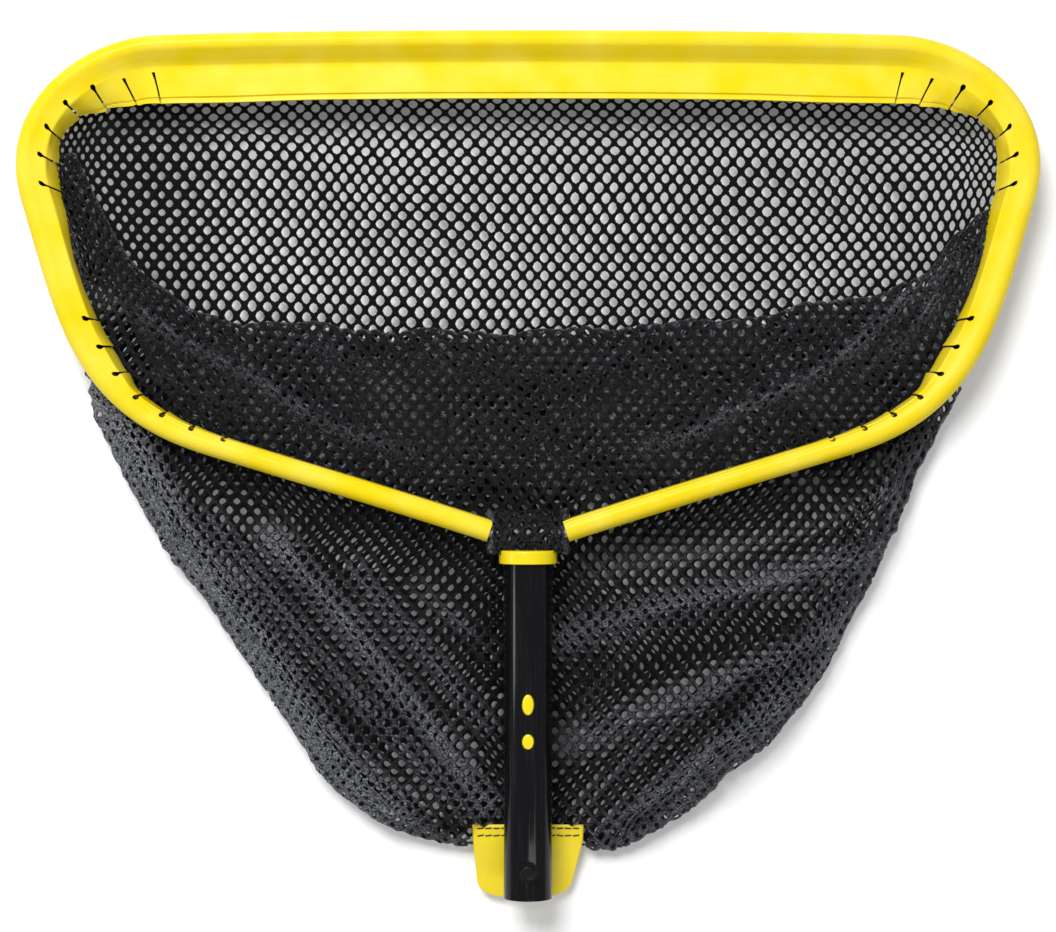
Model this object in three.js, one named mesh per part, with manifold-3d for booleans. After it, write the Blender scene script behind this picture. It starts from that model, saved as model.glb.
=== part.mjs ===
// Leaf skimmer net (leaf rake) head: a D-shaped mouth with a deep knitted bag and a handle tube that
// slips into a telescopic pole and locks there with a snap-button clip.
// Millimetres. +Z is up out of the mouth, +Y towards the nose, +X to the right, and z = 0 is the
// surface that the bag lies on.
import * as THREE from "three";
import { mergeVertices } from "three/addons/utils/BufferGeometryUtils.js";
import Module from "manifold-3d";

const wasm = await Module();
wasm.setup();

// ---- Driving dimensions ----
const LENGTH = 475.7; // nose to the handle's open end
const AXIS_Z = 23; // height of the frame's and handle's axis
const ROD_R = 3.9;
const HEM_INNER_R = 4.15;
const HEM_OUTER_R = 4.65;
const EDGE_WALL = 1.5;
const EDGE_R = 6.45; // outside radius of the edging's bead round the rod
const LEG_END_DEG = 235; // where the bead's outer leg stops, from inward, over the top
const CLOTH = 1.8; // thickness that stands for the net's loose layers
const GAP = 0.3;

const TUBE_R = 13.3;
const TUBE_BORE_R = 11.5;
const TUBE_END = 184;
const COLLAR_R = 15.9;
const COLLAR_END = 190.7;
const COLLAR_LAP = 1; // how far the collar's rim reaches back over the tube's end
const PLUG_R = 11.2;
const PLUG_START = 72;
const TAIL_X = 5.2; // the rod's two tails, either side of the middle
const TAIL_START = 96;
const TAIL_BEND = 6; // length taken off each side of the bend's corner
const BOSSES = [
  { at: 107, halfWidth: 3.15, halfLength: 5.65 },
  { at: 86.9, halfWidth: 3.15, halfLength: 4.15 },
];

const BUTTON_AT = 15.9;
const BUTTON_R = 4.1;
const BUTTON_HOLE_R = 5.1;
const BUTTON_TIP = 17.3; // from the tube's axis
const BUTTON_DOME = 1.5;
const CLIP_PIVOT = 57;
const CLIP_HALF = 5; // half the clip's width at its bend
const CLIP_SPREAD = 9.2; // the arm's distance from the axis at the button
const CLIP_THICK = 0.8;
const CLIP_WIDTH = 8;
const CLIP_TIP_AT = 10.5;

const TAB_Z = 4.95; // middle of the tab's thickness where it is sewn
const TAB_THICK = 1.5;
const TAB_HINGE = 28.5;
const TAB_TOP = 38;
const TAB_DROOP_DEG = 8.2;
const STITCH_ROWS = [36, 32];
const THREAD_R = 0.45;
const SEAM_R = 0.9;

const fromEnd = (distance) => distance - LENGTH / 2; // distance from the handle's open end, as y
const at = (x, distance) => new THREE.Vector2(x, fromEnd(distance));

// ---- Solids ----
function solid(geometry) {
  const bare = geometry.clone();
  bare.deleteAttribute("normal");
  bare.deleteAttribute("uv");
  const merged = mergeVertices(bare, 1e-4);
  return new wasm.Manifold(
    new wasm.Mesh({
      numProp: 3,
      vertProperties: new Float32Array(merged.attributes.position.array),
      triVerts: new Uint32Array(merged.index.array),
    }),
  );
}

function geometryOf(made) {
  const mesh = made.getMesh();
  const geometry = new THREE.BufferGeometry();
  geometry.setAttribute("position", new THREE.BufferAttribute(mesh.vertProperties, 3));
  geometry.setIndex(new THREE.BufferAttribute(mesh.triVerts, 1));
  geometry.computeVertexNormals();
  return geometry;
}

const cut = (geometry, tools) =>
  geometryOf(tools.reduce((left, tool) => left.subtract(solid(tool)), solid(geometry)));
const join = (geometries) =>
  geometryOf(geometries.map(solid).reduce((sum, next) => sum.add(next)));

// A closed body through rings of equally many points. outline is one ring in its own plane, for the caps.
function loft(rings, outline) {
  const sides = rings[0].length;
  const points = rings.flat().flatMap((p) => [p.x, p.y, p.z]);
  const faces = [];
  for (let r = 0; r + 1 < rings.length; r++)
    for (let i = 0; i < sides; i++) {
      const a = r * sides + i;
      const b = r * sides + ((i + 1) % sides);
      faces.push([a, b, b + sides], [a, b + sides, a + sides]);
    }
  const last = (rings.length - 1) * sides;
  const sense = THREE.ShapeUtils.isClockWise(outline) ? -1 : 1;
  for (const [a, b, c] of THREE.ShapeUtils.triangulateShape(outline, [])) {
    const cap = sense > 0 ? [a, b, c] : [a, c, b];
    faces.push([cap[0], cap[2], cap[1]], cap.map((i) => i + last));
  }
  return facingOut(points, faces);
}

function facingOut(points, faces) {
  const corner = (i) => new THREE.Vector3().fromArray(points, 3 * i);
  const volume = faces.reduce(
    (sum, [a, b, c]) => sum + corner(a).dot(corner(b).cross(corner(c))),
    0,
  );
  const index = faces.flatMap(([a, b, c]) => (volume > 0 ? [a, b, c] : [a, c, b]));
  const geometry = new THREE.BufferGeometry();
  geometry.setAttribute("position", new THREE.Float32BufferAttribute(points, 3));
  geometry.setIndex(index);
  return geometry;
}

function extrudeUp(shape, low, high) {
  const made = new THREE.ExtrudeGeometry(shape, { depth: high - low, bevelEnabled: false });
  return made.translate(0, 0, low);
}

// A shape drawn in (y, z) and extruded along x, about the middle.
function extrudeAcross(shape, width) {
  const made = new THREE.ExtrudeGeometry(shape, { depth: width, bevelEnabled: false });
  made.translate(0, 0, -width / 2);
  const turn = new THREE.Matrix4().makeBasis(
    new THREE.Vector3(0, 1, 0),
    new THREE.Vector3(0, 0, 1),
    new THREE.Vector3(1, 0, 0),
  );
  return made.applyMatrix4(turn);
}

function ellipse(halfWidth, halfLength, segments) {
  const turn = (i) => (2 * Math.PI * i) / segments;
  const points = Array.from({ length: segments }, (_, i) =>
    new THREE.Vector2(halfWidth * Math.cos(turn(i)), halfLength * Math.sin(turn(i))),
  );
  return new THREE.Shape(points);
}

const polygon = (points) => new THREE.Shape(points);
const turned = (profile, segments = 32) =>
  new THREE.LatheGeometry(profile.map(([r, y]) => new THREE.Vector2(r, fromEnd(y))), segments);

// ---- The mouth's outline, half of it, from the middle of the nose to the arm's end ----
const HALF_OUTLINE = [
  [[0, 475.7], [-80, 475.7], [-150, 474.9], [-203, 473]],
  [[-203, 473], [-249.4, 471.4], [-290.5, 423.1], [-277.8, 381.4]],
  [[-277.8, 381.4], [-270.6, 358], [-264.7, 334.5], [-254.8, 311.3]],
  [[-254.8, 311.3], [-238.4, 272.6], [-213.9, 251.8], [-178.6, 241.7]],
  [[-178.6, 241.7], [-109.6, 221.9], [-74.9, 212], [-22.7, 195]],
];

function outlinePath() {
  const halves = new THREE.CurvePath();
  const bezier = (points) => new THREE.CubicBezierCurve(...points.map(([x, y]) => at(x, y)));
  const backwards = (points) => [...points].reverse();
  const mirrored = (points) => points.map(([x, y]) => [-x, y]);
  [...HALF_OUTLINE].reverse().forEach((points) => halves.add(bezier(backwards(points))));
  HALF_OUTLINE.forEach((points) => halves.add(bezier(mirrored(points))));
  return halves;
}
const outline = outlinePath();
const OUTLINE_LENGTH = outline.getLength();
const HALF = OUTLINE_LENGTH / 2;

// The point a distance along the outline and n inside it.
function inside(distance, n) {
  const u = THREE.MathUtils.clamp(distance / OUTLINE_LENGTH, 0, 1);
  const beyond = distance - u * OUTLINE_LENGTH; // past either end, straight on
  const tangent = outline.getTangentAt(u);
  const inwards = new THREE.Vector2(tangent.y, -tangent.x);
  return outline.getPointAt(u).addScaledVector(tangent, beyond).addScaledVector(inwards, n);
}

// Distances along one half where the shape changes, and the spacing that each stretch needs.
const ARM_END = 140;
const LOW_CORNER_END = 277;
const SIDE_END = 345;
const TOP_CORNER_END = 480;
const STRETCHES = [
  [0, ARM_END, 35],
  [ARM_END, LOW_CORNER_END, 11.5],
  [LOW_CORNER_END, SIDE_END, 23],
  [SIDE_END, TOP_CORNER_END, 11.5],
  [TOP_CORNER_END, HALF, 50],
];

function stations(start, end) {
  const half = STRETCHES.flatMap(([from, to, step]) => {
    const count = Math.ceil((to - from) / step);
    return Array.from({ length: count }, (_, i) => from + ((to - from) * i) / count);
  });
  const whole = [...half, HALF, ...half.map((d) => OUTLINE_LENGTH - d).reverse()];
  return [start, ...whole.filter((d) => d > start + 3 && d < end - 3), end];
}

// ---- Edging strip ----
// Along one half: where the face meets the inner flange, where the flange ends, and how far the
// flange's edge is pushed along the strip by the bending of the corners.
const SECTION_KEYS = [
  { at: 0, crease: [13.2, 5.2], lip: [12.9, -11], drift: 0 },
  { at: ARM_END, crease: [13.2, 5.2], lip: [12.9, -11], drift: -3 },
  { at: 215, crease: [15.5, 4.8], lip: [14.2, -11], drift: -5 },
  { at: LOW_CORNER_END, crease: [17.3, 4.4], lip: [17, -10.5], drift: -5 },
  { at: SIDE_END, crease: [17.5, 4.4], lip: [16.8, -10.5], drift: -4.5 },
  { at: 400, crease: [17.5, 4.2], lip: [18.5, -10], drift: -2.5 },
  { at: 435, crease: [17.3, 3.6], lip: [23.5, -9], drift: 0 },
  { at: 458, crease: [17.2, 2.4], lip: [28.5, -7.5], drift: 1.5 },
  { at: TOP_CORNER_END, crease: [17, 1.2], lip: [33, -6], drift: 2.5 },
  { at: 520, crease: [17, 0.5], lip: [34.7, -5.5], drift: 1.5 },
  { at: 1000, crease: [17, 0.5], lip: [34.7, -5.5], drift: 0 },
];

function sectionKeyAt(distance) {
  const fromArm = Math.min(distance, OUTLINE_LENGTH - distance);
  const next = SECTION_KEYS.findIndex((key) => key.at > fromArm);
  const [low, high] = [SECTION_KEYS[next - 1], SECTION_KEYS[next]];
  const share = THREE.MathUtils.smoothstep(fromArm, low.at, high.at);
  const mix = (a, b) => a + (b - a) * share;
  const side = distance <= HALF ? 1 : -1;
  return {
    crease: low.crease.map((v, i) => mix(v, high.crease[i])),
    lip: low.lip.map((v, i) => mix(v, high.lip[i])),
    drift: side * mix(low.drift, high.drift),
  };
}

// The strip's section as (inward, up) points from the rod's axis plane: out over the bead, along the
// face, down the flange and back along the wall's other side.
function edgeSection({ crease, lip }) {
  const centre = new THREE.Vector2(EDGE_R, 0);
  const creasePoint = new THREE.Vector2(...crease);
  const lipPoint = new THREE.Vector2(...lip);
  const reach = creasePoint.clone().sub(centre);
  const tangentAngle = reach.angle() + Math.acos(EDGE_R / reach.length());
  const end = THREE.MathUtils.degToRad(LEG_END_DEG);
  const arc = (radius, steps) =>
    Array.from({ length: steps + 1 }, (_, i) => {
      const angle = end + ((tangentAngle - end) * i) / steps;
      return new THREE.Vector2(radius * Math.cos(angle), radius * Math.sin(angle)).add(centre);
    });
  const face = new THREE.Vector2(Math.cos(tangentAngle), Math.sin(tangentAngle));
  const down = lipPoint.clone().sub(creasePoint).normalize();
  const flange = new THREE.Vector2(-down.y, down.x);
  const corner = face.clone().add(flange);
  const inset = corner.multiplyScalar(EDGE_WALL / (1 + face.dot(flange)));
  return [
    ...arc(EDGE_R, 6),
    creasePoint,
    lipPoint,
    lipPoint.clone().addScaledVector(flange, -EDGE_WALL),
    creasePoint.clone().sub(inset),
    ...arc(EDGE_R - EDGE_WALL, 5).reverse(),
  ];
}

function edgeRing(distance) {
  const key = sectionKeyAt(distance);
  const bend = Math.min(1, distance / 20, (OUTLINE_LENGTH - distance) / 20); // the ends are cut square
  return edgeSection(key).map((p) => {
    const onFlange = THREE.MathUtils.clamp((key.crease[1] - p.y) / (key.crease[1] - key.lip[1]), 0, 1);
    const pushed = p.x > 2 * EDGE_R ? onFlange * key.drift * bend : 0;
    const place = inside(distance + pushed, p.x);
    return new THREE.Vector3(place.x, place.y, AXIS_Z + p.y);
  });
}

const KERF_RUNS = [
  { first: 154, pitch: 20.2 },
  { first: 353, pitch: 19.5 },
];
const KERFS_PER_CORNER = 7;
const KERF_START = 12.4;
const KERF_HEAD = 1.9; // width at its round start
const KERF_WIDTH = 0.8; // width through the flange

function kerfTool(distance) {
  const key = sectionKeyAt(distance);
  const steps = [
    { n: KERF_START, width: KERF_HEAD, drift: 0 },
    { n: Math.min(key.crease[0], 15.5), width: KERF_WIDTH, drift: 0 },
    { n: Math.max(key.lip[0], key.crease[0]) + 2.5, width: KERF_WIDTH, drift: key.drift },
  ];
  const side = (sign) =>
    steps.map(({ n, width, drift }) => inside(distance + drift + (sign * width) / 2, n));
  return extrudeUp(polygon([...side(1), ...side(-1).reverse()]), AXIS_Z - 16, AXIS_Z + 9);
}

function edgeChannel() {
  const rings = stations(0, OUTLINE_LENGTH).map(edgeRing);
  const strip = loft(rings, edgeSection(sectionKeyAt(0)));
  const places = KERF_RUNS.flatMap(({ first, pitch }) =>
    Array.from({ length: KERFS_PER_CORNER }, (_, i) => first + i * pitch),
  );
  const both = [...places, ...places.map((d) => OUTLINE_LENGTH - d)];
  return cut(strip, both.map(kerfTool));
}

// ---- Frame rod and the bag's hem ----
function circle(radius, sides = 10) {
  return Array.from({ length: sides }, (_, i) => {
    const angle = (2 * Math.PI * i) / sides;
    return new THREE.Vector2(radius * Math.cos(angle), radius * Math.sin(angle));
  });
}

// The direction to the right of a path of 2-D points, at its i-th point.
function rightOf(path, i) {
  const next = path[Math.min(i + 1, path.length - 1)];
  const along = next.clone().sub(path[Math.max(i - 1, 0)]).normalize();
  return new THREE.Vector2(along.y, -along.x);
}

// Sweeps a round section along a level path of 2-D points at height z.
function rope(path, radius, z, sides = 10) {
  const section = circle(radius, sides);
  const rings = path.map((p, i) => {
    const sideways = rightOf(path, i);
    return section.map((s) => new THREE.Vector3(p.x + sideways.x * s.x, p.y + sideways.y * s.x, z + s.y));
  });
  return loft(rings, section);
}

// One tail: straight out of the plug, round its bend and on to the end of the mouth's loop.
function tailPath(start) {
  const loopStart = inside(0, EDGE_R);
  const heading = outline.getTangentAt(0);
  const cornerY = loopStart.y + ((loopStart.x + TAIL_X) / -heading.x) * heading.y;
  const corner = new THREE.Vector2(-TAIL_X, cornerY);
  const before = corner.clone().add(new THREE.Vector2(0, -TAIL_BEND));
  const after = corner.clone().addScaledVector(heading, TAIL_BEND);
  const bend = new THREE.QuadraticBezierCurve(before, corner, after);
  return [at(-TAIL_X, start), ...bend.getPoints(6)];
}

function rodPath(start) {
  const left = tailPath(start);
  const loop = stations(0, OUTLINE_LENGTH).map((d) => inside(d, EDGE_R));
  const right = left.map((p) => new THREE.Vector2(-p.x, p.y)).reverse();
  return [...left, ...loop, ...right];
}

const frameRod = () => rope(rodPath(TAIL_START), ROD_R, AXIS_Z);

function netHem() {
  const along = (start, end) => stations(start, end).map((d) => inside(d, EDGE_R));
  const sleeve = rope(along(1, OUTLINE_LENGTH - 1), HEM_OUTER_R, AXIS_Z);
  return cut(sleeve, [rope(along(-2, OUTLINE_LENGTH + 2), HEM_INNER_R, AXIS_Z)]);
}

// Net bunched round the two tails, between the edging's ends and the collar.
function throatWrap() {
  const half = [[0, 191.4], [12, 191.4], [20.8, 194.2], [17.4, 205.6], [8, 208.4], [0, 208.4]];
  const right = half.map(([x, y]) => at(x, y));
  const left = half.slice(1, -1).reverse().map(([x, y]) => at(-x, y));
  const bevel = { bevelSize: 3, bevelThickness: 4, bevelOffset: -3, bevelSegments: 2 };
  const blob = new THREE.ExtrudeGeometry(polygon([...right, ...left]), { depth: 9, ...bevel });
  blob.translate(0, 0, AXIS_Z - 4.5);
  return cut(blob, [rope(rodPath(TAIL_START), HEM_INNER_R, AXIS_Z)]);
}

// ---- Bag ----
const JUNCTION = 262; // along the outline, where the two panels and the seam meet the hem
const SKIRT_N = EDGE_R; // the net leaves the hem straight below the rod
const SKIRT_HALF = 0.7;
const RIM_Z = AXIS_Z - HEM_OUTER_R - GAP;
const PANEL_Z = CLOTH + GAP;
const FOLD_HALF = [[-250, 299], [-230, 252], [-184, 171], [-144, 108], [-106, 68], [-62, 42], [0, 31.5]];
const UNDER_LEG = AXIS_Z + EDGE_R * Math.sin(THREE.MathUtils.degToRad(LEG_END_DEG)) - GAP;
const THROAT_AT = 199;
const THROAT_Z = 6.4; // height of the upper panel where it passes under the collar
const LOBE = 14; // how far the upper panel puffs up either side of the handle

const FOLD_STEPS = 44;

// The line round the bag's back where its two panels meet.
function foldCurve() {
  const left = FOLD_HALF.map(([x, y]) => at(x, y));
  const right = FOLD_HALF.slice(0, -1).reverse().map(([x, y]) => at(-x, y));
  return new THREE.SplineCurve([...left, ...right]);
}
const foldPoints = foldCurve().getSpacedPoints(FOLD_STEPS);

// Lower panel: the floor of the bag with the skirt that climbs to the hem along the nose and sides.
function netLowerPanel() {
  const run = stations(JUNCTION, OUTLINE_LENGTH - JUNCTION);
  const line = (n) => run.map((d) => inside(d, n));
  const floor = polygon([...line(SKIRT_N - 1), ...[...foldPoints].reverse()]);
  const skirt = polygon([...line(SKIRT_N - SKIRT_HALF), ...line(SKIRT_N + SKIRT_HALF).reverse()]);
  return join([extrudeUp(floor, 0, CLOTH), extrudeUp(skirt, CLOTH / 2, RIM_Z)]);
}

// Height of the upper panel's top, share of the way from the hem to the fold length away, at x.
function upperTop(share, x, hemZ, length) {
  const { smoothstep } = THREE.MathUtils;
  const low = PANEL_Z + CLOTH;
  const fall = 1 - smoothstep(share, 0, 1);
  const lobe = LOBE * smoothstep(Math.abs(x), 20, 75) * smoothstep(length, 20, 130);
  return low + (hemZ - low) * fall * fall + lobe * Math.sin(Math.PI * share) ** 2;
}

// Upper panel: from the two arms back over the lobes either side of the handle to the fold.
function netUpperPanel() {
  const shares = [0, 0.12, 0.25, 0.4, 0.55, 0.7, 0.84, 0.94, 1];
  const middle = FOLD_STEPS / 2;
  const columns = foldPoints.map((fold, i) => {
    const arm = inside((JUNCTION * Math.abs(i - middle)) / middle, SKIRT_N);
    const hem = i === middle ? at(0, THROAT_AT) : new THREE.Vector2(i > middle ? -arm.x : arm.x, arm.y);
    const nearThroat = THREE.MathUtils.smoothstep(Math.abs(hem.x), 10, 60);
    const hemZ = THROAT_Z + (UNDER_LEG - THROAT_Z) * nearThroat;
    const length = hem.distanceTo(fold);
    return shares.map((share) => {
      const place = hem.clone().lerp(fold, share);
      return new THREE.Vector3(place.x, place.y, upperTop(share, place.x, hemZ, length));
    });
  });
  const rings = columns.map((top) => {
    const under = top.map((p) => new THREE.Vector3(p.x, p.y, p.z - CLOTH)).reverse();
    return [...top, ...under];
  });
  const flat = (up) => shares.map((share) => new THREE.Vector2(share, up));
  return loft(rings, [...flat(1), ...flat(0).reverse()]);
}

// The sewn seam that closes the two panels, just outside their fold.
function bagSeam() {
  const line = foldPoints.map((p, i) => p.clone().addScaledVector(rightOf(foldPoints, i), SEAM_R + GAP));
  return rope(line.slice(1, -1), SEAM_R, CLOTH + GAP / 2, 8);
}

// ---- Pull tab ----
function tabRoot() {
  const low = TAB_HINGE + TAB_THICK / 2 + GAP;
  const shape = polygon([at(-30, low), at(30, low), at(30.5, TAB_TOP), at(-30.5, TAB_TOP)]);
  return extrudeUp(shape, TAB_Z - TAB_THICK / 2, TAB_Z + TAB_THICK / 2);
}

// The free part, drawn from its hinge line at the origin, with a rounded edge there so that it turns freely.
function tabFlap() {
  const shape = new THREE.Shape();
  shape.moveTo(30, 0);
  shape.lineTo(-30, 0);
  shape.lineTo(-27.7, -19.5);
  shape.bezierCurveTo(-26.8, -24.5, -21, -28, -14, -28);
  shape.lineTo(14, -28);
  shape.bezierCurveTo(21, -28, 26.8, -24.5, 27.7, -19.5);
  const leaf = new THREE.ExtrudeGeometry(shape, { depth: TAB_THICK, bevelEnabled: false, curveSegments: 6 });
  const edge = new THREE.Shape();
  edge.absarc(0, 0, TAB_THICK / 2, 0, 2 * Math.PI, false);
  return join([leaf.translate(0, 0, -TAB_THICK / 2), extrudeAcross(edge, 60)]);
}

function stitchRow(distance) {
  const steps = 12;
  const path = Array.from({ length: steps + 1 }, (_, i) => {
    const x = -28.5 + (57 * i) / steps;
    return at(x, distance + (i % 2 ? 0.35 : -0.35));
  });
  return rope(path, THREAD_R, TAB_Z + TAB_THICK / 2 + GAP + THREAD_R, 6);
}

// ---- Handle ----
function handleTube() {
  const open = [TUBE_BORE_R, 0];
  const wall = turned([open, [TUBE_R, 0], [TUBE_R, TUBE_END], [TUBE_BORE_R, TUBE_END], open]);
  const windows = BOSSES.map(({ at: y, halfWidth, halfLength }) =>
    extrudeUp(ellipse(halfWidth + GAP, halfLength + GAP, 20), 0, 2 * TUBE_R).translate(0, fromEnd(y), 0),
  );
  const buttonHoles = extrudeUp(ellipse(BUTTON_HOLE_R, BUTTON_HOLE_R, 24), -2 * TUBE_R, 2 * TUBE_R);
  return cut(wall, [...windows, buttonHoles.translate(0, fromEnd(BUTTON_AT), 0)]);
}

function corePlug() {
  const round = 1.2;
  const shoulder = TUBE_END + GAP;
  const rim = shoulder - COLLAR_LAP;
  const body = turned([
    [0, PLUG_START],
    [PLUG_R - round, PLUG_START],
    [PLUG_R, PLUG_START + round],
    [PLUG_R, shoulder],
    [TUBE_R + GAP, shoulder],
    [TUBE_R + GAP, rim],
    [COLLAR_R, rim],
    [COLLAR_R, COLLAR_END - round],
    [COLLAR_R - round, COLLAR_END],
    [0, COLLAR_END],
  ]);
  const bosses = BOSSES.map(({ at: y, halfWidth, halfLength }) =>
    extrudeUp(ellipse(halfWidth, halfLength, 20), PLUG_R - 3, TUBE_R).translate(0, fromEnd(y), 0),
  );
  const channel = (x) => rope([at(x, TAIL_START - 1), at(x, COLLAR_END + 4)], HEM_INNER_R, 0);
  return cut(join([body, ...bosses]), [channel(-TAIL_X), channel(TAIL_X)]);
}

// The spring clip's bend, drawn in (y, z) about the handle's axis.
function clipBend() {
  const shape = new THREE.Shape();
  const middle = fromEnd(CLIP_PIVOT);
  shape.absarc(middle, 0, CLIP_HALF + CLIP_THICK / 2, -Math.PI / 2, Math.PI / 2, false);
  shape.absarc(middle, 0, CLIP_HALF - CLIP_THICK / 2, Math.PI / 2, -Math.PI / 2, true);
  return extrudeAcross(shape, CLIP_WIDTH);
}

// One arm from its pivot at the origin towards the tube's open end, spreading towards +z.
function clipArm() {
  const slope = (CLIP_SPREAD - CLIP_HALF) / (CLIP_PIVOT - BUTTON_AT);
  const reach = CLIP_PIVOT - CLIP_TIP_AT;
  const start = -GAP;
  const half = CLIP_THICK / 2;
  const corner = (y, up) => new THREE.Vector2(y, -y * slope + up);
  return extrudeAcross(
    polygon([corner(start, -half), corner(start, half), corner(-reach, half), corner(-reach, -half)]),
    CLIP_WIDTH,
  );
}

// One button, from its pivot too: a pin with a domed end.
function snapButton() {
  const base = CLIP_SPREAD + CLIP_THICK / 2 + 0.45 + GAP - CLIP_HALF;
  const tip = BUTTON_TIP - CLIP_HALF;
  const profile = [
    [0, base],
    [BUTTON_R, base],
    [BUTTON_R, tip - BUTTON_DOME],
    [BUTTON_R - 0.4, tip - 0.7],
    [BUTTON_R - 1.4, tip - 0.15],
    [0, tip],
  ];
  const made = new THREE.LatheGeometry(profile.map(([r, y]) => new THREE.Vector2(r, y)), 24);
  return made.rotateX(Math.PI / 2).translate(0, BUTTON_AT - CLIP_PIVOT, 0);
}

// ---- Materials ----
const finish = (color, roughness, metalness = 0) =>
  new THREE.MeshStandardMaterial({ color, roughness, metalness });
const yellowVinyl = finish(0xf7e017, 0.35);
const blackNet = finish(0x15161a, 0.85);
const blackTube = finish(0x0c0c0d, 0.3);
const aluminium = finish(0xb9bcc0, 0.35, 1);
const springSteel = finish(0x8e9196, 0.3, 1);
const darkButton = finish(0x1b1b1d, 0.4);
const blackThread = finish(0x101012, 0.8);

// ---- Assembly ----
function piece(name, geometry, material) {
  const mesh = new THREE.Mesh(geometry, material);
  mesh.name = name;
  return mesh;
}

// One sprung arm with its button, turned about the handle's axis for the top or the bottom.
function clipSide(which, turn) {
  const side = new THREE.Group();
  side.rotation.y = turn;
  const pivot = new THREE.Group();
  pivot.position.set(0, fromEnd(CLIP_PIVOT), CLIP_HALF);
  pivot.add(piece("clip_arm_" + which, clipArm(), springSteel));
  pivot.add(piece("snap_button_" + which, snapButton(), darkButton));
  side.add(pivot);
  return side;
}

function handle() {
  const group = new THREE.Group();
  group.position.z = AXIS_Z;
  group.add(piece("handle_tube", handleTube(), blackTube));
  group.add(piece("core_plug", corePlug(), yellowVinyl));
  group.add(piece("clip_bend", clipBend(), springSteel));
  group.add(clipSide("top", 0), clipSide("bottom", Math.PI));
  return group;
}

function pullTab() {
  const group = new THREE.Group();
  group.add(piece("tab_root", tabRoot(), yellowVinyl));
  const flap = piece("tab_flap", tabFlap(), yellowVinyl);
  flap.position.set(0, fromEnd(TAB_HINGE), TAB_Z);
  flap.rotation.x = THREE.MathUtils.degToRad(TAB_DROOP_DEG);
  group.add(flap);
  STITCH_ROWS.forEach((distance, i) =>
    group.add(piece("tab_stitch_row_" + (i + 1), stitchRow(distance), blackThread)),
  );
  return group;
}

const group = new THREE.Group();
group.name = "leaf_skimmer_net";
group.add(
  piece("edge_channel", edgeChannel(), yellowVinyl),
  piece("frame_rod", frameRod(), aluminium),
  piece("net_hem", netHem(), blackNet),
  piece("throat_wrap", throatWrap(), blackNet),
  piece("net_lower_panel", netLowerPanel(), blackNet),
  piece("net_upper_panel", netUpperPanel(), blackNet),
  piece("bag_seam", bagSeam(), blackThread),
  pullTab(),
  handle(),
);

export default group;
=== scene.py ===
import math

import bmesh
import bpy
import numpy as np
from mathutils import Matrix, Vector


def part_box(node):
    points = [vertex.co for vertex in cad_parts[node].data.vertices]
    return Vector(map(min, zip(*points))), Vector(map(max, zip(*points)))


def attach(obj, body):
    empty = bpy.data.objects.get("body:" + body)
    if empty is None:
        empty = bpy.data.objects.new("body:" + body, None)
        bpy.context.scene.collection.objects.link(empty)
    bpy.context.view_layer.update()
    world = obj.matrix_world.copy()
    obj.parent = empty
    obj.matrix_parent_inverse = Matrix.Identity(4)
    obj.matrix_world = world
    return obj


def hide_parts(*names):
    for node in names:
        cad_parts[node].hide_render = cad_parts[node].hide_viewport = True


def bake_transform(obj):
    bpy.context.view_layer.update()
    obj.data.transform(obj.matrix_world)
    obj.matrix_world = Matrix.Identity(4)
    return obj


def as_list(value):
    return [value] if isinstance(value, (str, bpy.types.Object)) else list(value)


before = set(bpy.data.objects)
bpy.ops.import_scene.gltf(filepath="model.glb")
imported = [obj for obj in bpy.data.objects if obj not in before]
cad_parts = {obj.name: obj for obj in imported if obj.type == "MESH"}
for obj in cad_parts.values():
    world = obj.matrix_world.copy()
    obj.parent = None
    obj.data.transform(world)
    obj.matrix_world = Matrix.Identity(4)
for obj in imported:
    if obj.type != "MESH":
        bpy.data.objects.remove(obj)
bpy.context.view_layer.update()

MM = 0.001
ROOT = "root"

# ---- Sizes, in millimetres, in the part's own frame ----
TUBE_LOW, TUBE_HIGH = (np.array(corner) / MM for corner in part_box("handle_tube"))
PLUG_LOW, PLUG_HIGH = (np.array(corner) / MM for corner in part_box("core_plug"))
AXIS_Z = (TUBE_LOW[2] + TUBE_HIGH[2]) / 2
TUBE_R = (TUBE_HIGH[2] - TUBE_LOW[2]) / 2
HANDLE_END = TUBE_LOW[1]
TUBE_LENGTH = TUBE_HIGH[1] - TUBE_LOW[1]
TUBE_WALL = 1.8
TUBE_BORE_R = TUBE_R - TUBE_WALL
COLLAR_R = (PLUG_HIGH[2] - PLUG_LOW[2]) / 2
COLLAR_START = TUBE_LENGTH - 0.7
COLLAR_END = PLUG_HIGH[1] - HANDLE_END
PLUG_START = PLUG_LOW[1] - HANDLE_END
PLUG_R = TUBE_BORE_R - 0.3
BUTTON_AT = 15.9
BUTTON_HOLE_R = 5.1
BUTTON_R = 4.1
BOSSES = [(107, 3.15, 5.65), (86.9, 3.15, 4.15)]  # from the handle's end, half width, half length
EDGE_R = 6.45  # the edging's bead
EDGE_WALL = 1.5

# The knit: the pitch of its openings, the pitch of its rows, one opening, and half its yarn's thickness
# between the openings and at an opening's edge.
HOLE_PITCH = 8.5
ROW_PITCH = 5.25
OPENING = np.array([(2.7, 0), (1.8, 1.97), (0, 3.1), (-1.8, 1.97), (-2.7, 0), (-1.8, -1.97), (0, -3.1),
                    (1.8, -1.97)])
YARN_HALF, YARN_RIM = 0.6, 0.3


# ---- Plane curves ----
def bezier(points, count):
    t = np.linspace(0, 1, count)[:, None]
    p = np.array(points, float)
    return (1 - t) ** 3 * p[0] + 3 * (1 - t) ** 2 * t * p[1] + 3 * (1 - t) * t**2 * p[2] + t**3 * p[3]


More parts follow.
